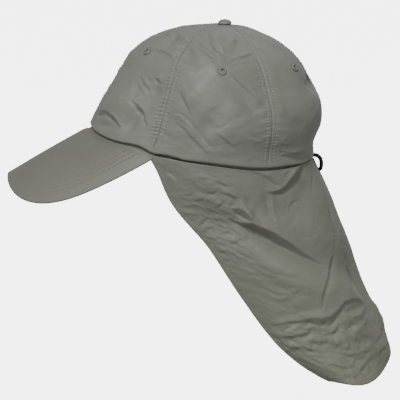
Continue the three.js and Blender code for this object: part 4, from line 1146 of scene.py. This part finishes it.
def make_brim():
    across = brim_stations(150)
    root = brim_top(across, 0 * across)
    tip = brim_top(across, 0 * across + 1)
    tip = tip + BRIM_END_REACH * BACKWARDS * (np.abs(across) ** BRIM_END_POWER)[:, None]
    length = np.linalg.norm(tip - root, axis=1)
    limit = 1 - BRIM_INSET / np.maximum(length, 3 * BRIM_INSET)
    share = np.concatenate([[0, 0.008, 0.016, 0.024, 0.032, 0.04], np.linspace(0.052, 1, 52)])
    out = share[:, None] * limit[None, :]
    a = np.broadcast_to(across, out.shape)
    reach = (BRIM_END_REACH + BRIM_END_SLANT * (1 - out)) * np.abs(a) ** BRIM_END_POWER
    top = brim_top(a, out) + BACKWARDS * reach[..., None]
    normal = brim_normal(a, out)
    seat = crown_point(across * BRIM_END_TURN, 0 * across, -1.0)
    gap = from_edge(top)
    relief = np.zeros_like(gap)
    for row in BRIM_ROWS_FROM_EDGE:
        relief -= brim_groove(top) * bell(gap - row, GROOVE_WIDTH)
    relief -= BRIM_DIP * bell(np.linalg.norm(top - seat, axis=-1), BRIM_DIP_WIDTH)
    inside = np.linalg.norm(top - top[0], axis=-1)
    top = top + BRIM_TURN_UP * UPWARDS * smoothstep(-inside, -BRIM_TURN_UP_WIDTH, 0)[..., None]
    face = top + normal * relief[..., None]
    outward = unit(tip - top[-1])
    bend = np.linspace(0, np.pi, 8)[1:-1]
    rounding = [top[-1] + outward * (BRIM_INSET * math.sin(b))
                - normal[-1] * (BRIM_BOARD / 2 * (1 - math.cos(b))) for b in bend]
    under = (top - normal * (BRIM_BOARD + 0.5 * relief[..., None]))[::-1]
    rows = np.concatenate([face, np.array(rounding), under])
    width = ways(rows, axis=1)
    uv = np.stack([width - width[:, -1:] / 2, ways(rows)], axis=-1)
    count, columns = rows.shape[:2]
    index = np.arange(count * columns).reshape(count, columns)
    faces = quads(index[:-1, :-1], index[:-1, 1:], index[1:, 1:], index[1:, :-1])
    faces += quads(index[-1, :-1], index[-1, 1:], index[0, 1:], index[0, :-1])
    faces.append(index[:, 0].tolist())
    faces.append(index[::-1, -1].tolist())
    piece = new_piece("brim_cloth", rows, faces, uv)
    bm = bmesh.new()
    bm.from_mesh(piece.data)
    bmesh.ops.triangulate(bm, faces=[f for f in bm.faces if len(f.verts) > 4])
    bmesh.ops.remove_doubles(bm, verts=bm.verts, dist=1e-6)
    bm.to_mesh(piece.data)
    bm.free()
    face_outwards(piece)
    return piece


# Elastic loop

# Steps between chosen points, rings and sides, radius in millimetres, radius for its map, and its braid
ROUTE_STEPS = 24
ELASTIC_RINGS = 200
ELASTIC_SIDES = 16
ELASTIC_RADIUS = 1.88
ELASTIC_MAP_RADIUS = 1.75
BRAID_HEIGHT = 0.02
BRAID_TURN = 3.6


def smooth_path(points, count):
    """A centripetal Catmull-Rom curve through points, as the part's own route."""
    points = np.array(points, float)
    padded = np.vstack([2 * points[0] - points[1], points, 2 * points[-1] - points[-2]])
    path = []
    for k in range(1, len(padded) - 2):
        p0, p1, p2, p3 = padded[k - 1:k + 3]
        t0 = 0.0
        t1 = t0 + math.sqrt(np.linalg.norm(p1 - p0))
        t2 = t1 + math.sqrt(np.linalg.norm(p2 - p1))
        t3 = t2 + math.sqrt(np.linalg.norm(p3 - p2))
        for t in np.linspace(t1, t2, ROUTE_STEPS, endpoint=False):
            a1 = (t1 - t) / (t1 - t0) * p0 + (t - t0) / (t1 - t0) * p1
            a2 = (t2 - t) / (t2 - t1) * p1 + (t - t1) / (t2 - t1) * p2
            a3 = (t3 - t) / (t3 - t2) * p2 + (t - t2) / (t3 - t2) * p3
            b1 = (t2 - t) / (t2 - t0) * a1 + (t - t0) / (t2 - t0) * a2
            b2 = (t3 - t) / (t3 - t1) * a2 + (t - t1) / (t3 - t1) * a3
            path.append((t2 - t) / (t2 - t1) * b1 + (t - t1) / (t2 - t1) * b2)
    path.append(points[-1])
    path = np.array(path)
    way = ways(path)
    even = np.linspace(0, way[-1], count)
    return np.stack([np.interp(even, way, path[:, k]) for k in range(3)], axis=1), way[-1]


def make_loop():
    """Round elastic with a braided cover."""
    route = [(x, HALF_LENGTH + behind, above) for x, behind, above in CORD_POINTS]
    path, length = smooth_path(route, ELASTIC_RINGS)
    tangent = unit(np.gradient(path, axis=0))
    side = unit(np.cross(tangent[0], [0.0, 1.0, 0.3]))
    frames = []
    for way in tangent:
        side = unit(side - way * (side @ way))
        frames.append((side, np.cross(way, side)))
    angle = np.linspace(0, 2 * np.pi, ELASTIC_SIDES, endpoint=False)
    along = np.linspace(0, length, len(path))
    rings = []
    for k, (a, b) in enumerate(frames):
        wind = along[k] * BRAID_TURN
        radius = ELASTIC_RADIUS + BRAID_HEIGHT * (np.cos(4 * angle + wind) + np.cos(4 * angle - wind)) / 2
        rings.append(path[k] + radius[:, None] * (np.cos(angle)[:, None] * a + np.sin(angle)[:, None] * b))
    index = np.arange(ELASTIC_RINGS * ELASTIC_SIDES).reshape(ELASTIC_RINGS, ELASTIC_SIDES)
    turned = np.roll(index, -1, axis=1)
    faces = quads(index[:-1], turned[:-1], turned[1:], index[1:])
    faces += [index[0, ::-1].tolist(), index[-1].tolist()]
    around = np.broadcast_to(angle * ELASTIC_MAP_RADIUS, index.shape)
    uv = np.stack([around, np.broadcast_to(along[:, None], index.shape)], axis=-1)
    piece = new_piece("elastic", rings, faces, uv)
    face_outwards(piece)
    return piece, path, length


loop, loop_path, loop_length = make_loop()
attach(loop, "root")
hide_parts("elastic_loop")


# Eyelets, button and stitches, modelled from primitives

def deselect():
    for item in list(bpy.context.selected_objects):
        item.select_set(False)


def finish_object(piece, name):
    """Names a piece and its mesh, and puts the piece's place into the mesh."""
    piece.name = name
    piece.data.name = name
    piece.data.transform(piece.matrix_world)
    piece.matrix_world.identity()


def edit_all():
    """Opens the mesh of the piece at hand with everything selected."""
    bpy.ops.object.mode_set(mode="EDIT")
    bpy.ops.mesh.select_all(action="SELECT")


def close_edit():
    """Turns the open mesh's faces outwards, closes it and shades it smooth."""
    bpy.ops.mesh.normals_make_consistent(inside=False)
    bpy.ops.object.mode_set(mode="OBJECT")
    bpy.ops.object.shade_smooth()


def turned_ring(name, start_radius, steps, sides):
    """A ring raised from a circle by extruding its edge step by step: each step is a radius and a height."""
    deselect()
    bpy.ops.mesh.primitive_circle_add(vertices=sides, radius=start_radius, location=(0, 0, 0),
                                      fill_type="NOTHING")
    piece = bpy.context.object
    edit_all()
    radius, height = start_radius, 0
    for next_radius, next_height in steps:
        bpy.ops.mesh.extrude_edges_move(TRANSFORM_OT_translate={"value": (0, 0, next_height - height)})
        grow = next_radius / radius
        bpy.ops.transform.resize(value=(grow, grow, 1), center_override=(0, 0, next_height))
        radius, height = next_radius, next_height
    bpy.ops.mesh.select_all(action="SELECT")
    bpy.ops.mesh.remove_doubles(threshold=1e-6)
    close_edit()
    finish_object(piece, name)
    return piece


def place_on(piece, point, facing, name):
    """A copy of a piece with its own mesh, Z along facing and its middle at a point in millimetres."""
    copy = bpy.data.objects.new(name, piece.data.copy())
    bpy.context.scene.collection.objects.link(copy)
    turn = Vector(facing.tolist()).to_track_quat("Z", "Y").to_matrix().to_4x4()
    turn.translation = Vector((point * MM).tolist())
    copy.data.transform(turn)
    copy.data.name = name
    return copy


# An eyelet: radius of its hole, its section over the flange, through the cloth and back as radius and
# height, its sides, how far it is sunk, and the reach over which the cloth's facing is read
EYELET_HOLE = 1.8
EYELET_STEPS = [
    (1.8, 0.55), (1.86, 0.95), (2.05, 1.25), (2.4, 1.42), (2.9, 1.36), (3.35, 1.12), (3.7, 0.78), (3.9, 0.42),
    (3.98, 0.12), (3.9, 0.0), (2.4, 0.0), (2.4, -2.0), (3.2, -2.05), (3.4, -2.3), (3.2, -2.6), (2.1, -2.6),
    (1.8, -2.3), (1.8, 0.0),
]
EYELET_SIDES = 32
EYELET_SINK = 0.15
FACING_STEP = 4

# The button: radius, how far its lower part is kept, its flattening, its lift and its gathers
BUTTON_RADIUS = 6.25
BUTTON_KEPT = 1.6
BUTTON_FLATTENING = 0.62
BUTTON_LIFT = 0.3
BUTTON_FOLDS = 17


def make_eyelets():
    steps = [(radius * MM, height * MM) for radius, height in EYELET_STEPS]
    ring = turned_ring("eyelet_master", EYELET_HOLE * MM, steps, EYELET_SIDES)
    made = []
    for panel, (turn, rise) in EYELETS.items():
        for hand, label in ((1, "left"), (-1, "right")):
            point = crown_point(hand * turn, rise)
            facing = eyelet_facing(hand * turn, rise)
            piece = place_on(ring, point - EYELET_SINK * facing, facing, f"eyelet_ring_{panel}_{label}")
            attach(piece, "root")
            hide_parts(f"eyelet_{panel}_{label}")
            made.append(piece)
    bpy.data.objects.remove(ring)
    return made


def eyelet_facing(turn, rise):
    turn_step = math.degrees(FACING_STEP / HALF_LENGTH)
    rise_step = FACING_STEP / CROWN_HEIGHT
    around = crown_point(turn + turn_step, rise) - crown_point(turn - turn_step, rise)
    up = crown_point(turn, rise + rise_step) - crown_point(turn, rise - rise_step)
    return unit(np.cross(around, up))


def make_button():
    """A dome covered in cloth, gathered under its edge."""
    deselect()
    bpy.ops.mesh.primitive_uv_sphere_add(segments=48, ring_count=28, radius=BUTTON_RADIUS * MM,
                                         location=(0, 0, 0))
    button = bpy.context.object
    edit_all()
    bpy.ops.mesh.bisect(plane_co=(0, 0, -BUTTON_KEPT * MM), plane_no=(0, 0, 1), clear_inner=True,
                        use_fill=True)
    bpy.ops.mesh.select_all(action="SELECT")
    bpy.ops.transform.resize(value=(1, 1, BUTTON_FLATTENING), center_override=(0, 0, 0))
    bpy.ops.object.mode_set(mode="OBJECT")
    low = -BUTTON_KEPT * BUTTON_FLATTENING
    for vertex in button.data.vertices:
        x, y, z = vertex.co / MM
        around = math.atan2(y, x)
        away = math.hypot(x, y)
        edge = float(smoothstep(away, 3.2, 6.2))
        fold = 0.09 * math.sin(BUTTON_FOLDS * around + 0.8 * math.sin(3 * around)) * edge
        flat = 0.16 * math.exp(-((away - 2.2) / 1.6) ** 2)
        grow = 1 + fold / BUTTON_RADIUS
        tuck = 1 - 0.1 * float(smoothstep(-z, 0.2, 1.0))
        vertex.co = Vector((x * grow * tuck, y * grow * tuck, z - low + BUTTON_LIFT + fold * 0.4 - flat)) * MM
    edit_all()
    close_edit()
    button.location = (0, TOP_SETBACK * MM, CROWN_HEIGHT * MM)
    bpy.context.view_layer.update()
    finish_object(button, "button_cover")
    return button


def make_stitch_master():
    deselect()
    bpy.ops.mesh.primitive_uv_sphere_add(segments=6, ring_count=5, radius=0.5, location=(0, 0, 0))
    stitch = bpy.context.object
    edit_all()
    bpy.ops.transform.rotate(value=math.pi / 2, orient_axis="Y", center_override=(0, 0, 0))
    bpy.ops.object.mode_set(mode="OBJECT")
    bpy.ops.object.shade_smooth()
    return stitch


# Stitches stray along their row by a share of the pitch, are read over a short way, and lie rather flat
STITCH_STRAY = 0.12
STITCH_SEED = 91
STITCH_REACH = 0.6
STITCH_FLATTENING = 0.8


def stitch_row(name, master, rows, pitch, long, thick, lift):
    """Stitches along rows of the cloth: each row is its points in millimetres and the normals there."""
    shape = np.array([v.co for v in master.data.vertices])
    polygons = [list(p.vertices) for p in master.data.polygons]
    points, faces = [], []
    for path, normals in rows:
        way = ways(path)
        count = int((way[-1] - pitch) / pitch)
        if count < 1:
            continue
        at = pitch * (0.5 + np.arange(count)) + (way[-1] - pitch * count) / 2
        at = at + STITCH_STRAY * pitch * wander(at, pitch, STITCH_SEED + len(points))

        def read(values, place):
            return np.stack([np.interp(place, way, values[:, k]) for k in range(3)], axis=1)

        middle, normal = read(path, at), unit(read(normals, at))
        along = unit(read(path, at + STITCH_REACH) - read(path, at - STITCH_REACH))
        side = unit(np.cross(normal, along))
        for k in range(count):
            offset = len(points) * len(shape)
            placed = (middle[k] + shape[:, :1] * long * along[k] + shape[:, 1:2] * thick * side[k]
                      + (shape[:, 2:3] * thick * STITCH_FLATTENING + lift) * normal[k])
            points.append(placed)
            faces += [[offset + v for v in polygon] for polygon in polygons]
    return new_piece(name, np.array(points), faces)


# Stitched rows start this far above the crown's edge, and stop where a panel is too narrow for them
STITCH_START = 3.5
STITCH_ROOM = 14


def seam_rows(seam, hand):
    """The two stitched rows beside a seam, on the cloth's finished surface."""
    rows = []
    for panel in (seam - 1, seam):
        if panel < 0 or panel > 2:
            continue
        _, _, first, second, up, plain, normal, relief = crown_surface(panel, hand)
        away = first if panel == seam else second
        surface = plain + normal * relief[..., None]
        path, normals = [], []
        for row in range(len(up)):
            if up[row, 0] < STITCH_START or away[row].max() < STITCH_ROOM:
                continue
            order = np.argsort(away[row])
            place = away[row][order]
            path.append([np.interp(STITCH_ROW, place, surface[row, order, k]) for k in range(3)])
            normals.append([np.interp(STITCH_ROW, place, normal[row, order, k]) for k in range(3)])
        rows.append((np.array(path), np.array(normals)))
    return rows


# The brim's rows stop short of its ends and of the crown
BRIM_ROW_END = 0.965
BRIM_ROW_START = 0.08


def brim_row(gap):
    """One stitched row of the brim, at a way from its free edge."""
    across = np.linspace(-BRIM_ROW_END, BRIM_ROW_END, 500)
    out = np.linspace(0, 1, 200)
    reach = from_edge(brim_top(*np.meshgrid(across, out)))
    path, normals = [], []
    for column in range(len(across)):
        line = reach[:, column]
        if line.max() < gap + 1:
            continue
        place = np.interp(-gap, -line, out)
        if place < BRIM_ROW_START:
            continue
        path.append(brim_top(across[column], place))
        normals.append(brim_normal(across[column], place))
    path, normals = np.array(path), np.array(normals)
    return path - brim_groove(path)[:, None] * normals, normals


# Materials

CLOTH_COLOUR = (0.208, 0.216, 0.184)
BRIM_COLOUR = (0.168, 0.173, 0.142)
FLAP_COLOUR = (0.196, 0.202, 0.17)
THREAD_COLOUR = (0.36, 0.368, 0.32)
BRIM_THREAD_COLOUR = (0.2, 0.205, 0.172)
EYELET_COLOUR = (0.2, 0.205, 0.18)
ELASTIC_COLOUR = (0.012, 0.012, 0.012)

# Plain finishes: name, colour and roughness
PLAIN_FINISHES = [
    ("button_cloth", CLOTH_COLOUR, 0.5), ("stitching_thread", THREAD_COLOUR, 0.6),
    ("brim_thread", BRIM_THREAD_COLOUR, 0.6), ("eyelet_paint", EYELET_COLOUR, 0.38),
    ("elastic_cover", ELASTIC_COLOUR, 0.7),
]

# The woven cloth: threads in a metre, height of the weave, sheen, and how strongly the painted light follows
# the height: the colour is painted lighter towards the bottom, standing in for light bounced up from below
THREADS = 1400.0
WEAVE_HEIGHT = 0.00004
SHEEN = 0.12
SHEEN_ROUGHNESS = 0.4
PAINTED_LIGHT_BY_HEIGHT = -5.0
SLUB_SCALE = (60, 1100, 60)
PLAIN_BUMP = 0.00005


def new_group(name, inputs, outputs):
    group = bpy.data.node_groups.new(name, "ShaderNodeTree")
    for label, kind, value in inputs:
        socket = group.interface.new_socket(label, in_out="INPUT", socket_type=kind)
        if value is not None:
            socket.default_value = value
    for label, kind in outputs:
        group.interface.new_socket(label, in_out="OUTPUT", socket_type=kind)
    return group, group.nodes.new("NodeGroupInput"), group.nodes.new("NodeGroupOutput")


def set_inputs(tree, node, settings):
    """Each setting is a value for one of the node's inputs, or an output that is wired into it."""
    for label, value in settings.items():
        if isinstance(value, bpy.types.NodeSocket):
            tree.links.new(value, node.inputs[label])
        else:
            node.inputs[label].default_value = value


def new_node(tree, kind, settings, group=None):
    node = tree.nodes.new(kind)
    if group:
        node.node_tree = group
    set_inputs(tree, node, settings)
    return node


def math_node(tree, operation, *values):
    node = tree.nodes.new("ShaderNodeMath")
    node.operation = operation
    set_inputs(tree, node, dict(enumerate(values)))
    return node.outputs[0]


def mix_shares(tree, *parts):
    """The sum of outputs, each times its share."""
    total = None
    for output, share in parts:
        scaled = math_node(tree, "MULTIPLY", output, share)
        total = math_node(tree, "ADD", total, scaled) if total else scaled
    return total


def make_weave_group():
    """Plain weave read from the cloth's own map: Height for bump, Tone for a faint thread colour."""
    group, given, made = new_group("plain_weave", [("Cloth", "NodeSocketVector", None),
                                                   ("Threads", "NodeSocketFloat", THREADS)],
                                   [("Height", "NodeSocketFloat"), ("Tone", "NodeSocketFloat")])
    links = group.links
    split = new_node(group, "ShaderNodeSeparateXYZ", {0: given.outputs["Cloth"]})
    across = math_node(group, "MULTIPLY", split.outputs[0], given.outputs["Threads"])
    along = math_node(group, "MULTIPLY", split.outputs[1], given.outputs["Threads"])
    warp = math_node(group, "SINE", math_node(group, "MULTIPLY", across, math.pi))
    weft = math_node(group, "SINE", math_node(group, "MULTIPLY", along, math.pi))
    both = math_node(group, "MULTIPLY", warp, weft)
    links.new(math_node(group, "ABSOLUTE", both), made.inputs["Height"])
    stretch = new_node(group, "ShaderNodeVectorMath", {0: given.outputs["Cloth"], 1: SLUB_SCALE})
    stretch.operation = "MULTIPLY"
    slub = new_node(group, "ShaderNodeTexNoise", {"Scale": 1.0, "Detail": 3.0, "Vector": stretch.outputs[0]})
    links.new(slub.outputs["Fac"], made.inputs["Tone"])
    return group


def make_cloud_group():
    """Slow changes over a surface, in the piece's own space: a broad and a fine mask."""
    group, given, made = new_group("soft_clouds", [("Place", "NodeSocketVector", None),
                                                   ("Broad scale", "NodeSocketFloat", 18.0),
                                                   ("Fine scale", "NodeSocketFloat", 90.0)],
                                   [("Broad", "NodeSocketFloat"), ("Fine", "NodeSocketFloat")])
    for label, scale, detail in (("Broad", "Broad scale", 2.0), ("Fine", "Fine scale", 4.0)):
        noise = new_node(group, "ShaderNodeTexNoise", {
            "Detail": detail, "Vector": given.outputs["Place"], "Scale": given.outputs[scale]})
        group.links.new(noise.outputs["Fac"], made.inputs[label])
    return group


def new_material(name):
    material = bpy.data.materials.new(name)
    material.use_nodes = True
    tree = material.node_tree
    return material, tree, tree.nodes["Principled BSDF"]


def ramp(tree, factor, stops):
    node = new_node(tree, "ShaderNodeValToRGB", {"Fac": factor})
    elements = node.color_ramp.elements
    for element, (place, colour) in zip(elements, (stops[0], stops[-1])):
        element.position, element.color = place, colour
    for place, colour in stops[1:-1]:
        elements.new(place).color = colour
    return node.outputs["Color"]


def shade(colour, factor):
    return tuple(c * factor for c in colour[:3]) + (1.0,)


def add_bump(tree, shader, distance, strength, height):
    bump = new_node(tree, "ShaderNodeBump", {"Distance": distance, "Strength": strength, "Height": height})
    tree.links.new(bump.outputs["Normal"], shader.inputs["Normal"])


def make_cloth(name, colour, roughness, weave, clouds, spread=0.06, painted_light_tint=(1.0, 1.0, 1.0)):
    """Satin nylon: woven bump, slow colour changes, a smooth sheen, and painted light that makes the colour
    lighter downwards.
    """
    material, tree, shader = new_material(name)
    cloth = tree.nodes.new("ShaderNodeUVMap")
    cloth.uv_map = "cloth"
    place = tree.nodes.new("ShaderNodeTexCoord").outputs["Object"]
    settings = {"Threads": THREADS, "Cloth": cloth.outputs[0]}
    threads = new_node(tree, "ShaderNodeGroup", settings, weave).outputs
    cloud = new_node(tree, "ShaderNodeGroup", {"Place": place}, clouds).outputs
    tone = mix_shares(tree, (cloud["Broad"], 0.6), (cloud["Fine"], 0.25), (threads["Tone"], 0.15))
    stops = [(0.3, shade(colour, 1 - spread)), (0.5, shade(colour, 1)), (0.7, shade(colour, 1 + spread))]
    base = ramp(tree, tone, stops)
    height = new_node(tree, "ShaderNodeSeparateXYZ", {0: place})
    # Painted light: the colour is multiplied lighter lower down, standing in for light bounced up from below
    painted_light_mix = tree.nodes.new("ShaderNodeMix")
    painted_light_mix.data_type = "RGBA"
    painted_light_mix.blend_type = "MULTIPLY"
    set_inputs(tree, painted_light_mix, {"Factor": math_node(tree, "MULTIPLY", height.outputs[2], PAINTED_LIGHT_BY_HEIGHT),
                            "A": base, "B": painted_light_tint + (1.0,)})
    rough = math_node(tree, "ADD", roughness - 0.04, math_node(tree, "MULTIPLY", cloud["Fine"], 0.08))
    set_inputs(tree, shader, {"Base Color": painted_light_mix.outputs["Result"], "Roughness": rough, "Sheen Weight": SHEEN,
                              "Sheen Roughness": SHEEN_ROUGHNESS, "Specular IOR Level": 0.5})
    add_bump(tree, shader, WEAVE_HEIGHT, 0.5, threads["Height"])
    return material


def make_plain(name, colour, roughness, clouds):
    """Paint, thread or a plain cover: slow colour changes and a fine grain."""
    material, tree, shader = new_material(name)
    place = tree.nodes.new("ShaderNodeTexCoord").outputs["Object"]
    settings = {"Broad scale": 60.0, "Fine scale": 900.0, "Place": place}
    cloud = new_node(tree, "ShaderNodeGroup", settings, clouds).outputs
    tone = mix_shares(tree, (cloud["Broad"], 0.5), (cloud["Fine"], 0.5))
    base = ramp(tree, tone, [(0.35, shade(colour, 0.88)), (0.65, shade(colour, 1.1))])
    rough = math_node(tree, "ADD", roughness - 0.05, math_node(tree, "MULTIPLY", cloud["Fine"], 0.1))
    set_inputs(tree, shader, {"Base Color": base, "Roughness": rough})
    add_bump(tree, shader, PLAIN_BUMP, 0.4, cloud["Fine"])
    return material


def make_materials():
    weave, clouds = make_weave_group(), make_cloud_group()
    made = {
        "crown": make_cloth("satin_nylon_crown", CLOTH_COLOUR, 0.52, weave, clouds),
        "brim": make_cloth("satin_nylon_brim", BRIM_COLOUR, 0.5, weave, clouds),
        # The flap's colour is painted lighter towards its bottom: painted light bounced up from below
        "flap": make_cloth("satin_nylon_flap", FLAP_COLOUR, 0.5, weave, clouds, spread=0.09,
                           painted_light_tint=(1.06, 1.07, 0.97)),
    }
    for name, colour, roughness in PLAIN_FINISHES:
        made[name] = make_plain(name, colour, roughness, clouds)
    made["eyelet_paint"].node_tree.nodes["Principled BSDF"].inputs["Metallic"].default_value = 0.1
    return made


materials = make_materials()


def dress(piece, material, replaces=None):
    piece.data.materials.clear()
    piece.data.materials.append(materials[material])
    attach(piece, "root")
    if replaces:
        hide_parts(replaces)


loop.data.materials.append(materials["elastic_cover"])

for hand, label in ((1, "left"), (-1, "right")):
    for seam, panel in enumerate(PANELS):
        dress(make_panel(seam, hand), "crown", f"{panel}_panel_{label}")

flap = make_flap()
dress(flap, "flap", "neck_flap")
dress(make_brim(), "brim", "brim")
for eyelet in make_eyelets():
    eyelet.data.materials.clear()
    eyelet.data.materials.append(materials["eyelet_paint"])
dress(make_button(), "button_cloth", "top_button")

# Pitch, length, thickness and lift of the stitches, and the seams with the hands that each row of them takes
CROWN_STITCH = (2.9, 1.35, 0.95, 0.25)
BRIM_STITCH = (2.8, 2.1, 0.4, 0.1)
STITCHED_SEAMS = [(0, "front_centre", (1, -1)), (1, "front_left", (1,)), (1, "front_right", (-1,)),
                  (2, "back_left", (1,)), (2, "back_right", (-1,)), (3, "back_centre", (1, -1))]

stitch = make_stitch_master()
for seam, label, hands in STITCHED_SEAMS:
    rows = [row for hand in hands for row in seam_rows(seam, hand)]
    dress(stitch_row(f"stitches_{label}", stitch, rows, *CROWN_STITCH), "stitching_thread")
rows = [brim_row(gap) for gap in BRIM_ROWS_FROM_EDGE]
dress(stitch_row("stitches_brim", stitch, rows, *BRIM_STITCH), "brim_thread")
bpy.data.objects.remove(stitch)


# Floor, lights and background

WORLD_LIGHT = 0.3
PAPER_WHITE = 5.0
WHITE = (1, 1, 1, 1)
FLOOR_HEIGHT = -0.3
FLOOR_RADIUS = 14


def make_floor():
    deselect()
    bpy.ops.mesh.primitive_circle_add(vertices=64, radius=FLOOR_RADIUS, location=(0, 0, FLOOR_HEIGHT),
                                      fill_type="NGON")
    floor = bpy.context.object
    floor.name = "floor"
    material, tree, shader = new_material("paper_floor")
    set_inputs(tree, shader, {"Base Color": (0.85, 0.85, 0.85, 1), "Roughness": 0.9,
                              "Emission Color": WHITE, "Emission Strength": PAPER_WHITE})
    floor.data.materials.append(material)
    floor.visible_diffuse = False
    floor.visible_glossy = False


def add_light(name, place, size, power, target=(0, 0.02, -0.04)):
    data = bpy.data.lights.new(name, "AREA")
    data.shape = "DISK"
    data.size = size
    data.energy = power
    light = bpy.data.objects.new(name, data)
    bpy.context.scene.collection.objects.link(light)
    light.location = place
    light.rotation_mode = "QUATERNION"
    light.rotation_quaternion = (Vector(target) - Vector(place)).to_track_quat("-Z", "Y")
    light.visible_camera = False


def make_world():
    """White to the camera, softer as light."""
    world = bpy.data.worlds.new("studio")
    world.use_nodes = True
    tree = world.node_tree
    soft = tree.nodes["Background"]
    set_inputs(tree, soft, {"Color": WHITE, "Strength": WORLD_LIGHT})
    white = new_node(tree, "ShaderNodeBackground", {"Color": WHITE, "Strength": PAPER_WHITE})
    rays = tree.nodes.new("ShaderNodeLightPath")
    choose = new_node(tree, "ShaderNodeMixShader", {
        "Fac": rays.outputs["Is Camera Ray"], 1: soft.outputs[0], 2: white.outputs[0]})
    tree.links.new(choose.outputs[0], tree.nodes["World Output"].inputs["Surface"])
    bpy.context.scene.world = world


def make_lighting():
    make_floor()
    add_light("key", (1.96, -0.75, 2.1), 0.75, 56)
    add_light("fill", (2.4, 0.3, 0.5), 1.6, 12)
    add_light("back", (-1.3, 0.6, 1.4), 1.2, 4)
    make_world()


make_lighting()
